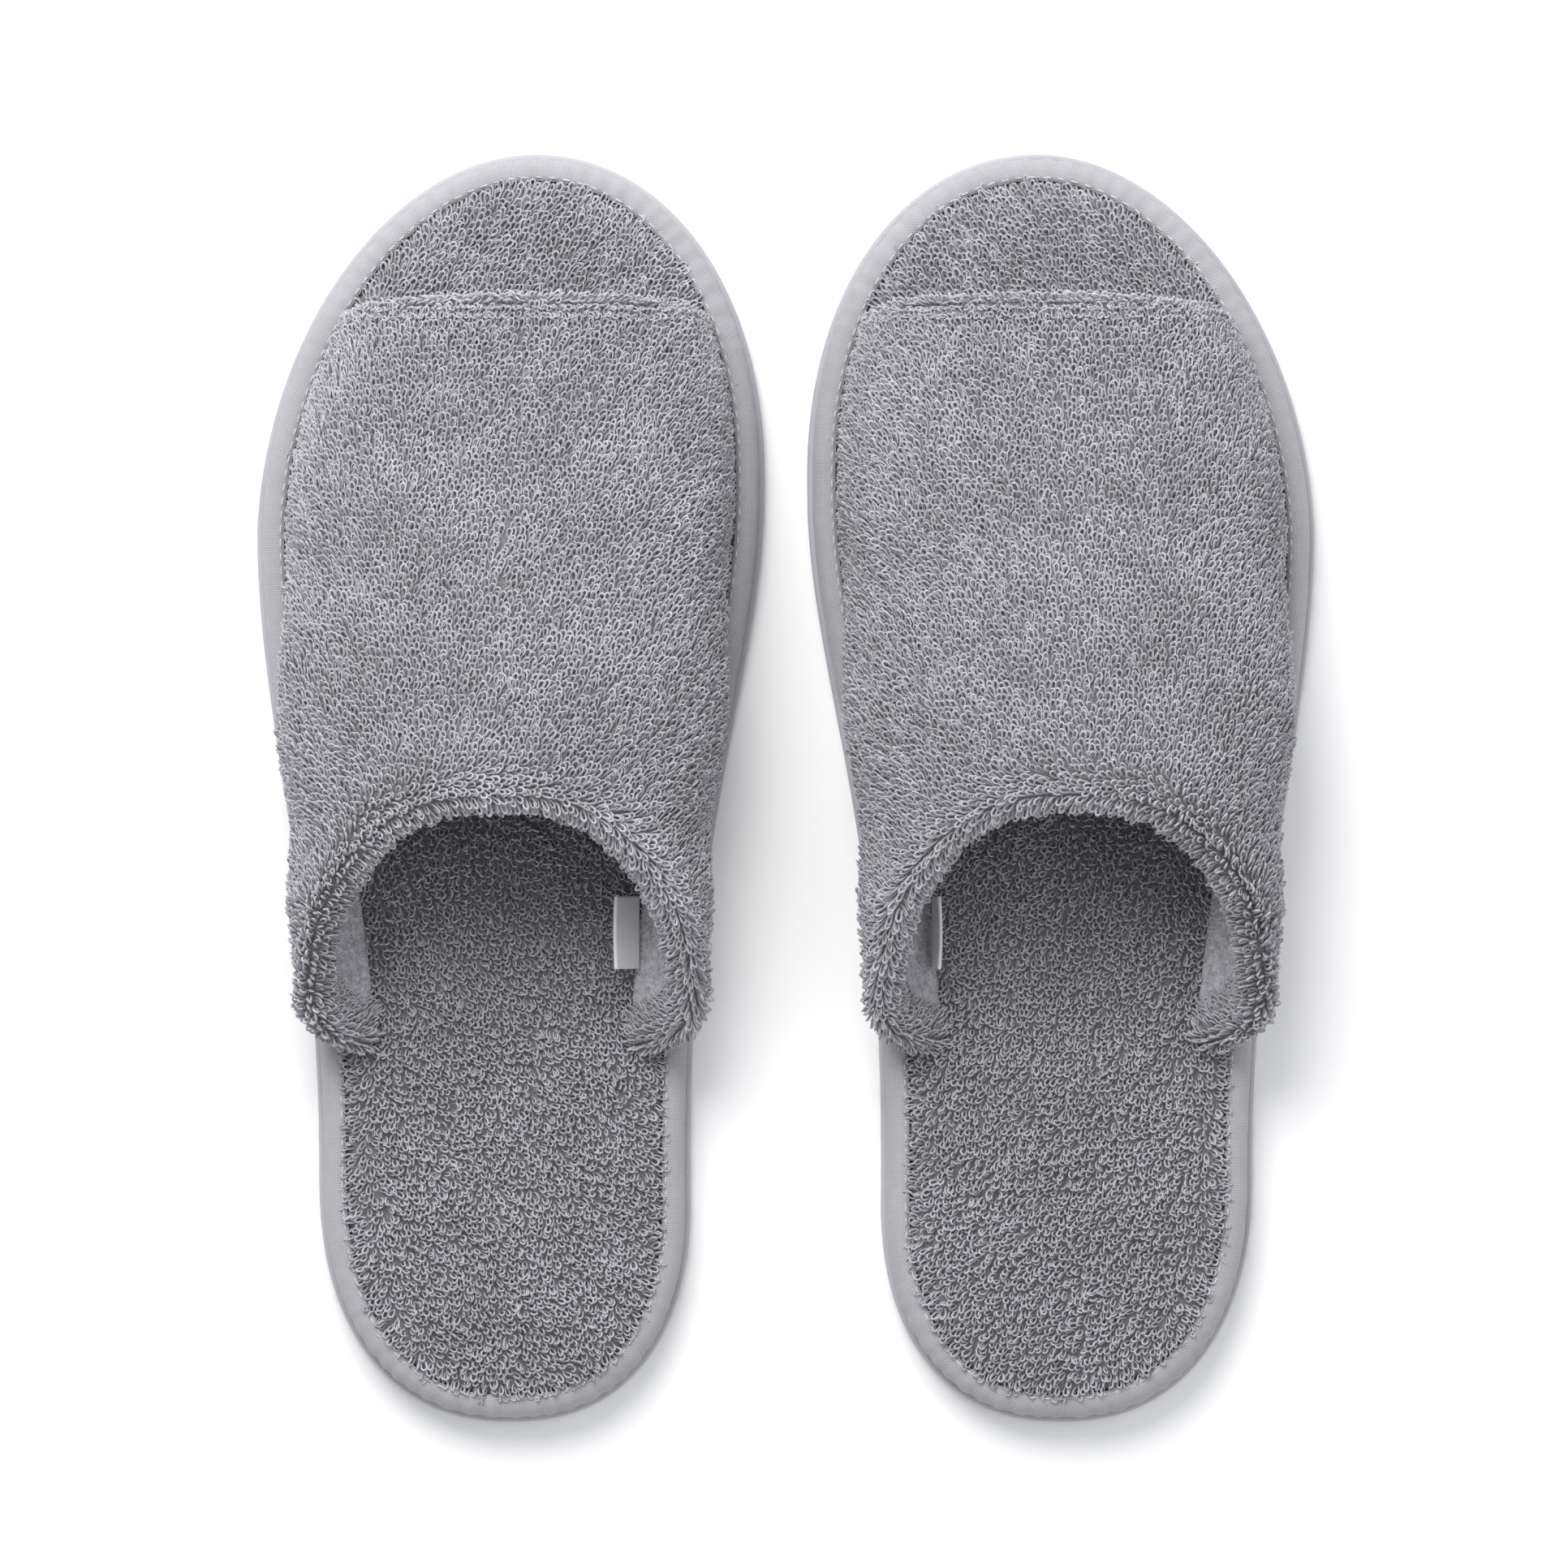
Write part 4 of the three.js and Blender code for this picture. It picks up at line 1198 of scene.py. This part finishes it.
def band_cloth(across, y, foot, sizes):
    """Points of the band's ground cloth, swollen by its padding."""
    if (foot, "band") not in SWELLS:
        over, down = np.meshgrid(np.linspace(0, 1, 64), np.linspace(0, 1, 40))
        front, rear = band_limits(over[0], sizes)
        grid = band_point(over, mix(front, rear, down), np.full(over.shape, sizes.pile_depth))
        SWELLS[foot, "band"] = Swell(grid, CLOTH_PRESSURE, sizes.band_swell, SEED[foot] + 6)
    front, rear = band_limits(across, sizes)
    swell = SWELLS[foot, "band"].at((front - y) / (front - rear), across)
    return band_point(across, y, sizes.pile_depth - swell)


def sunk_seams(grid, sizes):
    """The grid with one more column at each end, where the seams go down into the footbed's pile."""
    sunk = np.array([0, 0, -sizes.pile_depth])
    return np.concatenate([grid[:, :1] + sunk, grid, grid[:, -1:] + sunk], axis=1)


def make_band_ground(foot, sizes):
    """The band's ground cloth: over the instep, and turned in over the padding at the toe opening and throat."""
    columns = 140
    front, rear = band_edges(columns, sizes)
    rows = [front.lip(d) for d in np.linspace(sizes.lip, 0, 4)[:-1]]
    rows += [front.roll(turn)[0] for turn in np.linspace(math.pi, 0, 9)[:-1]]
    for t in np.linspace(0, 1, 44):
        across = mix(front.face_across, rear.face_across, t)
        y = mix(front.face_y, rear.face_y, t)
        rows.append(band_cloth(across, y, foot, sizes))
    rows += [rear.roll(turn)[0] for turn in np.linspace(0, math.pi, 9)[1:]]
    rows += [rear.lip(d) for d in np.linspace(0, sizes.lip, 4)[1:]]
    grid = sunk_seams(np.stack(rows), sizes)
    faces = grid_faces(len(rows), columns + 2)
    item = mesh_object(f"{foot}_band", grid.reshape(-1, 3), faces, foot)
    thicken(item, sizes.ground_thickness)
    finish_piece(item, foot, materials()["ground"], ["band_shell"])
    return item


def make_lining(foot, sizes):
    """Brushed lining inside the band, from one turned edge to the other."""
    columns = 110
    front, rear = band_edges(columns, sizes)
    start, end = front.lip(sizes.lip * 0.4), rear.lip(sizes.lip * 0.25)
    rows = []
    for t in np.linspace(0, 1, 48):
        across = mix(front.face_across, rear.face_across, t)
        y = mix(start[:, 1], end[:, 1], t)
        rows.append(band_point(across, y, np.full(columns, BAND_THICKNESS - 0.1 * MM)))
    grid = sunk_seams(np.stack(rows), sizes)
    relief = wave(grid.reshape(-1, 3), 11 * MM, SEED[foot] + 8).reshape(grid.shape[:2]) * 0.25 * MM
    grid[..., 2] += relief
    faces = flipped(grid_faces(len(rows), columns + 2))
    item = mesh_object(f"{foot}_lining", grid.reshape(-1, 3), faces, foot)
    thicken(item, sizes.lining_thickness)
    finish_piece(item, foot, materials()["lining"], ["band_lining"])
    return item


def face_feet(foot, sizes):
    """Where the loops stand on the band's face: wales along the foot, rows across it."""
    rng = np.random.default_rng(SEED[foot] + 100)
    ys = np.arange(BAND_FRONT, WING_END, -sizes.loop_pitch)
    dense = np.linspace(0, 1, 500)
    middle = band_face(dense, np.full(500, (BAND_FRONT + BAND_THROAT) / 2))
    run = run_along(middle)
    wales = int(run[-1] / sizes.loop_pitch)
    acrosses = np.interp(np.linspace(0, run[-1], wales), run, dense)
    across, y = (g.ravel() for g in np.meshgrid(acrosses, ys))
    odd = np.round((BAND_FRONT - y) / sizes.loop_pitch) % 2
    across = across + np.where(odd, 0.5, 0) * np.median(np.diff(acrosses))
    across += rng.normal(0, LOOP_JITTER, len(across)) * np.median(np.diff(acrosses))
    y = y + rng.normal(0, LOOP_JITTER, len(y)) * sizes.loop_pitch
    y_front, y_rear = band_limits(across, sizes)
    keep = (across > 0.004) & (across < 0.996) & (y < y_front + 0.3 * MM) & (y > y_rear - 0.2 * MM)
    across, y, y_rear = across[keep], y[keep], y_rear[keep]
    place = band_cloth(across, y, foot, sizes)
    up = band_outward(across, y)
    over, along = band_slopes(across, y)
    over, along = unit(over), unit(along)
    # Near the throat the pile turns to lie along the edge
    to_throat = smooth(1 - (y - y_rear) / THROAT_TURN)
    side = (2 * across - 1) * 0.5
    lay = along * (1 - 0.9 * to_throat)[:, None] + over * (side * 0.6 + 0.18 + 0.9 * to_throat)[:, None]
    lay = across_to(up, lay)
    return {"place": place, "up": up, "lay": lay, "lean": mix(1.0, 0.85, to_throat),
            "grow": mix(1.0, 1.2, to_throat), "stir": mix(0.75, 0.6, to_throat)}


def edge_feet(foot, sizes, which):
    """Where the loops stand on a turned edge of the band."""
    rng = np.random.default_rng(SEED[foot] + {"front": 200, "rear": 300}[which])
    probe = BandEdge(which, 500, sizes.pile_depth)
    length = np.linalg.norm(np.diff(probe.centre, axis=0), axis=1).sum()
    columns = int(length / sizes.edge_pitch)
    edge = BandEdge(which, columns, sizes.pile_depth)
    reach = {"front": math.radians(170), "rear": math.radians(180)}[which]
    step = sizes.edge_pitch / edge.radius
    rows = [(turn, 0.0) for turn in np.arange(-0.1 * step, reach, step)]
    if which == "rear":
        rows += [(math.pi, back) for back in np.arange(sizes.edge_pitch / 2, sizes.wing_turn_in, sizes.edge_pitch)]
    wing = smooth((np.abs(2 * edge.across - 1) - 0.3) / 0.35) * np.where(edge.across < 0.5, 1, 0.7)
    places, ups, lays, grows, kept = [], [], [], [], []
    for k, (turn, back) in enumerate(rows):
        place, away = edge.roll(turn)
        further = edge.inward * math.sin(turn) + edge.out * math.cos(turn)
        place = place - edge.out * back + edge.along * (sizes.edge_pitch * (0.5 if k % 2 else 0))
        place = place + edge.along * rng.normal(0, sizes.edge_pitch * 0.15, (columns, 1))
        places.append(place)
        ups.append(away)
        share = min(1.0, max(0.0, turn / reach))
        if which == "rear":
            lays.append(edge.along * (1 - share) * 1.1 + further * (0.35 + share))
            grows.append(np.full(columns, mix(1.25, 0.95, share)))
        else:
            lays.append(-further * 0.8 + edge.along * 0.3)
            grows.append(np.full(columns, 0.85))
        kept.append(back <= sizes.wing_turn_in * wing)
    place, up, lay = np.vstack(places), unit(np.vstack(ups)), np.vstack(lays)
    lay = across_to(up, lay)
    keep = (place[:, 2] > BAND_BASE - sizes.pile_depth * 0.5) & np.concatenate(kept)
    feet = {"place": place, "up": up, "lay": lay, "grow": np.concatenate(grows),
            "lean": np.full(len(place), 0.75), "stir": np.full(len(place), 0.85)}
    return pick(feet, keep)


def seam_feet(foot, sizes):
    """Two rows of loops that close the band's seams down to the tape."""
    rng = np.random.default_rng(SEED[foot] + 400)
    ys = np.arange(WING_END + 2 * MM, BAND_FRONT - 3 * MM, sizes.edge_pitch)
    places, ups, lays = [], [], []
    for end, side in ((0.0, "lateral"), (1.0, "medial")):
        for drop in (0.4 * MM, 1.5 * MM):
            y = ys + rng.normal(0, 0.2 * MM, len(ys))
            row = band_point(np.full(len(y), end), y, np.full(len(y), sizes.pile_depth))
            places.append(row - np.array([0, 0, drop]))
            ups.append(np.tile([SIDE_SIGN[side] * 1.0, 0.0, 0.2], (len(y), 1)))
            lays.append(np.tile([0.0, 0.35, -1.0], (len(y), 1)))
    place = np.vstack(places)
    up, lay = unit(np.vstack(ups)), np.vstack(lays)
    lay = across_to(up, lay)
    return {"place": place, "up": up, "lay": lay, "lean": np.full(len(place), 0.45),
            "grow": np.full(len(place), 0.8), "stir": np.full(len(place), 0.6)}


def joined(*groups):
    return {key: np.concatenate([np.broadcast_to(g[key], (len(g["place"]), *np.shape(g[key])[1:]))
                                 for g in groups]) for key in groups[0]}


def make_band_pile(foot, sizes):
    face = face_feet(foot, sizes)
    y = face["place"][:, 1]
    rear_end, front_start = BAND_ZONES
    parts = {
        "toe": joined(pick(face, y >= front_start), edge_feet(foot, sizes, "front")),
        "front": pick(face, (y >= rear_end) & (y < front_start)),
        "rear": pick(face, y < rear_end),
        "throat": joined(edge_feet(foot, sizes, "rear"), seam_feet(foot, sizes)),
    }
    made = []
    for k, (zone, feet) in enumerate(parts.items()):
        item = pile_piece(f"{foot}_band_pile_{zone}", feet, foot, sizes, SEED[foot] + 10 + k)
        made.append(finish_piece(item, foot))
    return made


# ---- Care label ----------------------------------------------------------------------------------------------


def make_label(foot, sizes):
    """A blank ribbon folded in half, with a soft round fold, sewn in low and standing up from its seam."""
    pivot = label_pivot(foot)
    low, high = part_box(f"{foot}_care_label")
    width = high.y - low.y
    sign = FEET[foot]
    lean = math.radians(LABEL_LOWEST_LEAN - label_joint(foot)["range_deg"][1])
    reach = sizes.label_reach
    half = sizes.label_fold / 2
    path = [(-half, 0.0), (-half, reach * 0.5), (-half * 1.25, reach - 1.6 * half)]
    path += arc((0, reach - half * 1.35), half * 1.35, 170, 10, 8)
    path += [(half * 1.25, reach - 1.6 * half), (half, reach * 0.5), (half, 0.0)]
    path = resample(np.array(path), 44)
    across = np.linspace(-width / 2, width / 2, 34)
    points = np.zeros((len(path), len(across), 3))
    for i, (x, z) in enumerate(path):
        curl = 0.35 * MM * (z / reach) * (across / (width / 2)) ** 2
        points[i, :, 0] = x + curl
        points[i, :, 1] = across
        points[i, :, 2] = z
    flat = points.reshape(-1, 3)
    c, s = math.cos(lean), math.sin(lean)
    swung = np.column_stack([c * flat[:, 0] - s * flat[:, 2], flat[:, 1], s * flat[:, 0] + c * flat[:, 2]])
    placed = swung * np.array([sign, 1, 1]) + pivot
    faces = grid_faces(len(path), len(across))
    if sign < 0:
        faces = flipped(faces)
    mesh = bpy.data.meshes.new(f"{foot}_label")
    mesh.from_pydata(placed.tolist(), [], faces)
    mesh.shade_smooth()
    item = new_object(f"{foot}_label", mesh)
    run = run_along(path)
    uv = np.stack(np.broadcast_arrays(across[None, :], run[:, None]), axis=-1).reshape(-1, 2)
    set_uv(item, uv)
    thicken(item, sizes.label_thickness, 0)
    finish_piece(item, foot, materials()["label"], ["care_label"], f"{foot}_label")
    return item


# ---- Stage ---------------------------------------------------------------------------------------------------


def area_light(name, place, size, power, colour):
    data = bpy.data.lights.new(name, "AREA")
    data.shape = "DISK"
    data.size = size
    data.energy = power
    data.color = colour
    lamp = bpy.data.objects.new(name, data)
    bpy.context.scene.collection.objects.link(lamp)
    lamp.location = place
    lamp.rotation_euler = (-Vector(place)).to_track_quat("-Z", "Y").to_euler()
    return lamp


def make_stage():
    """A white floor, soft light from the toe end and the left, and a camera straight above."""
    scene = bpy.context.scene
    half = FLOOR_HALF
    mesh = bpy.data.meshes.new("Floor")
    mesh.from_pydata([(-half, -half, 0), (half, -half, 0), (half, half, 0), (-half, half, 0)], [], [(0, 1, 2, 3)])
    floor = new_object("Floor", mesh)
    mesh.materials.append(new_material("Floor_paper", lambda graph: {}, Roughness=0.9,
                                       **{"Base Color": (0.93, 0.93, 0.93, 1), "Specular IOR Level": 0.1}))
    world = bpy.data.worlds.new("Studio")
    world.use_nodes = True
    background = world.node_tree.nodes["Background"]
    background.inputs["Color"].default_value = (0.97, 0.98, 1.0, 1)
    background.inputs["Strength"].default_value = WORLD_LIGHT
    scene.world = world
    area_light("Key", (-0.3, 0.75, 0.95), 0.8, KEY_POWER, (1.0, 0.99, 0.98))
    area_light("Toe", (-0.1, 1.2, 0.5), 0.6, TOE_LIGHT_POWER, (1.0, 1.0, 1.0))
    area_light("Fill", (0.9, 0.25, 1.3), 1.0, FILL_POWER, (0.98, 0.99, 1.0))
    scene.view_settings.view_transform = "Standard"
    data = bpy.data.cameras.new("Camera")
    data.lens = CAMERA_LENS
    data.sensor_width = SENSOR
    camera = bpy.data.objects.new("Camera", data)
    scene.collection.objects.link(camera)
    distance = VIEW_WIDTH * CAMERA_LENS / SENSOR
    camera.location = (VIEW_CENTRE[0], VIEW_CENTRE[1], OUTSOLE_HIGH.z + distance)
    data.clip_start, data.clip_end = 0.1, 10.0
    scene.camera = camera


# ---- Sizes and colours that a user may change ------------------------------------------------------------------


def length(label, description, value):
    return bpy.props.FloatProperty(name=label, description=description, default=value, min=0.0,
                                   unit="LENGTH", subtype="DISTANCE", precision=5)


def angle(label, description, value):
    return bpy.props.FloatProperty(name=label, description=description, default=value, subtype="ANGLE")


def colour(label, description, value):
    return bpy.props.FloatVectorProperty(name=label, description=description, default=(*value, 1.0), size=4,
                                         min=0.0, max=1.0, subtype="COLOR")


class SlipperSizes(bpy.types.PropertyGroup):
    """Sizes of the cloth, the yarn and the stitching"""

    pile_depth: length("Pile depth", "How far the ground cloth lies below the tips of the loops", 1.9 * MM)
    ground_thickness: length("Ground thickness", "Thickness of the terry's woven ground", 0.6 * MM)
    loop_length: length("Loop length", "From a loop's foot to its head", 2.5 * MM)
    loop_width: length("Loop width", "Widest part of a loop", 1.2 * MM)
    yarn_radius: length("Yarn radius", "Half the thickness of the loop yarn", 0.27 * MM)
    loop_pitch: length("Loop pitch", "From one row or wale of loops to the next", 1.38 * MM)
    hidden_pitch: length("Hidden pitch", "From one loop to the next under the band", 2.1 * MM)
    edge_pitch: length("Edge pitch", "From one loop to the next on the band's turned edges", 1.3 * MM)
    swirl: angle("Swirl", "How far the lay of the pile wanders from place to place", 2.6)
    scatter: angle("Scatter", "How far one loop turns from its neighbours", 0.55)
    swirl_size: length("Swirl size", "Width of a patch of pile that lies one way", 9.0 * MM)
    cover_shoulder: length("Cover shoulder", "Width of the footbed's rounded edge", 9.0 * MM)
    cover_drop: length("Cover drop", "How far the footbed's edge lies below its middle", 1.2 * MM)
    cover_unevenness: length("Cover unevenness", "Height of the footbed's soft bumps", 0.25 * MM)
    footbed_swell: length("Footbed swell", "How far the footbed's cloth may stand off its foam", 0.9 * MM)
    band_swell: length("Band swell", "How far the band's cloth may stand off its padding", 1.3 * MM)
    lip: length("Lip", "How far the band's cloth turns in", 5.5 * MM)
    wing_turn_in: length("Wing turn-in", "How far the loops go on inside the band's wings", 7.0 * MM)
    lining_thickness: length("Lining thickness", "Thickness of the lining", 0.5 * MM)
    tape_thickness: length("Tape thickness", "Thickness of the bias tape", 0.8 * MM)
    pucker_pitch: length("Pucker pitch", "From one pucker of the tape to the next", 4.6 * MM)
    pucker_depth: length("Pucker depth", "Depth of the tape's puckers", 0.24 * MM)
    stitch_pitch: length("Stitch pitch", "From one stitch to the next", 3.1 * MM)
    stitch_length: length("Stitch length", "Length of a stitch", 2.2 * MM)
    thread_radius: length("Thread radius", "Half the thickness of the thread", 0.2 * MM)
    tread_margin: length("Tread margin", "Plain sole left at the heel and the toe", 14 * MM)
    tread_pitch: length("Tread pitch", "From one groove to the next", 9 * MM)
    groove_width: length("Groove width", "Width of a grip groove", 1.6 * MM)
    groove_depth: length("Groove depth", "Depth of a grip groove", 1.0 * MM)
    label_reach: length("Label reach", "From the label's seam to its fold", 7.9 * MM)
    label_fold: length("Label fold", "Space between the label's two leaves", 0.5 * MM)
    label_thickness: length("Label thickness", "Thickness of the label's ribbon", 0.22 * MM)


class SlipperColours(bpy.types.PropertyGroup):
    """Colours of the cloths and the sole"""

    terry: colour("Terry", "Terry yarn", (0.440, 0.433, 0.470))
    tape: colour("Tape", "Bias tape", (0.450, 0.444, 0.475))
    thread: colour("Thread", "Sewing thread", (0.60, 0.60, 0.62))
    lining: colour("Lining", "Brushed lining", (0.460, 0.452, 0.495))
    label: colour("Label", "Care label ribbon", (0.93, 0.93, 0.95))
    outsole: colour("Sole", "Foam sole", (0.40, 0.40, 0.43))
    board: colour("Board", "Fibre board", (0.48, 0.40, 0.27))
    foam: colour("Foam", "Padding foam", (0.78, 0.77, 0.71))


# ---- Operators -------------------------------------------------------------------------------------------------


class SlipperOperator:
    """Shared by the operators that make a piece for both feet."""

    bl_options = {"REGISTER", "UNDO"}

    def execute(self, context):
        for foot in FEET:
            self.make(foot, context.scene.slipper_sizes)
        return {"FINISHED"}


class SLIPPERS_OT_stage(bpy.types.Operator):
    """Make the floor, the lights and the camera"""

    bl_idname = "slippers.stage"
    bl_label = "Stage"

    def execute(self, context):
        make_stage()
        return {"FINISHED"}


class SLIPPERS_OT_soles(SlipperOperator, bpy.types.Operator):
    """Make the foam soles with their grip grooves"""

    bl_idname = "slippers.soles"
    bl_label = "Soles"
    make = staticmethod(make_outsole)


class SLIPPERS_OT_tapes(SlipperOperator, bpy.types.Operator):
    """Make the bias tape round each footbed"""

    bl_idname = "slippers.tapes"
    bl_label = "Bias tapes"
    make = staticmethod(make_tape)


class SLIPPERS_OT_stitches(SlipperOperator, bpy.types.Operator):
    """Make the stitches along each bias tape"""

    bl_idname = "slippers.stitches"
    bl_label = "Stitches"
    make = staticmethod(make_stitching)


class SLIPPERS_OT_footbeds(SlipperOperator, bpy.types.Operator):
    """Make the footbeds' ground cloth and loops"""

    bl_idname = "slippers.footbeds"
    bl_label = "Footbeds"

    @staticmethod
    def make(foot, sizes):
        make_cover(foot, sizes)
        make_footbed_pile(foot, sizes)


class SLIPPERS_OT_bands(SlipperOperator, bpy.types.Operator):
    """Make the bands' ground cloth and loops"""

    bl_idname = "slippers.bands"
    bl_label = "Bands"

    @staticmethod
    def make(foot, sizes):
        make_band_ground(foot, sizes)
        make_band_pile(foot, sizes)


class SLIPPERS_OT_linings(SlipperOperator, bpy.types.Operator):
    """Make the linings inside the bands"""

    bl_idname = "slippers.linings"
    bl_label = "Linings"
    make = staticmethod(make_lining)


class SLIPPERS_OT_labels(SlipperOperator, bpy.types.Operator):
    """Make the blank care labels"""

    bl_idname = "slippers.labels"
    bl_label = "Care labels"
    make = staticmethod(make_label)


class SLIPPERS_OT_insides(SlipperOperator, bpy.types.Operator):
    """Give the boards and foams inside their materials"""

    bl_idname = "slippers.insides"
    bl_label = "Insides"

    @staticmethod
    def make(foot, sizes):
        for node, key in (("insole_board", "board"), ("footbed_foam", "foam"), ("band_padding", "foam")):
            inside = frame["nodes"][f"{foot}_{node}"]
            for k in range(len(inside.material_slots)):
                inside.material_slots[k].material = materials()[key]


class SLIPPERS_PT_panel(bpy.types.Panel):
    """Lists the steps that make the slippers"""

    bl_idname = "SLIPPERS_PT_panel"
    bl_label = "Terry slippers"
    bl_space_type = "VIEW_3D"
    bl_region_type = "UI"
    bl_category = "Slippers"

    def draw(self, context):
        for step in STEPS:
            self.layout.operator(step.bl_idname)
        for group in (context.scene.slipper_sizes, context.scene.slipper_colours):
            box = self.layout.box()
            for name in type(group).__annotations__:
                box.prop(group, name)


STEPS = (SLIPPERS_OT_stage, SLIPPERS_OT_soles, SLIPPERS_OT_tapes, SLIPPERS_OT_stitches, SLIPPERS_OT_footbeds,
         SLIPPERS_OT_bands, SLIPPERS_OT_linings, SLIPPERS_OT_labels, SLIPPERS_OT_insides)
CLASSES = (SlipperSizes, SlipperColours, *STEPS, SLIPPERS_PT_panel)


def register():
    for made in CLASSES:
        bpy.utils.register_class(made)
    bpy.types.Scene.slipper_sizes = bpy.props.PointerProperty(type=SlipperSizes)
    bpy.types.Scene.slipper_colours = bpy.props.PointerProperty(type=SlipperColours)


def unregister():
    del bpy.types.Scene.slipper_sizes
    del bpy.types.Scene.slipper_colours
    for made in reversed(CLASSES):
        bpy.utils.unregister_class(made)


def main():
    register()
    for step in STEPS:
        family, name = step.bl_idname.split(".")
        getattr(getattr(bpy.ops, family), name)()


if __name__ == "__main__":
    main()
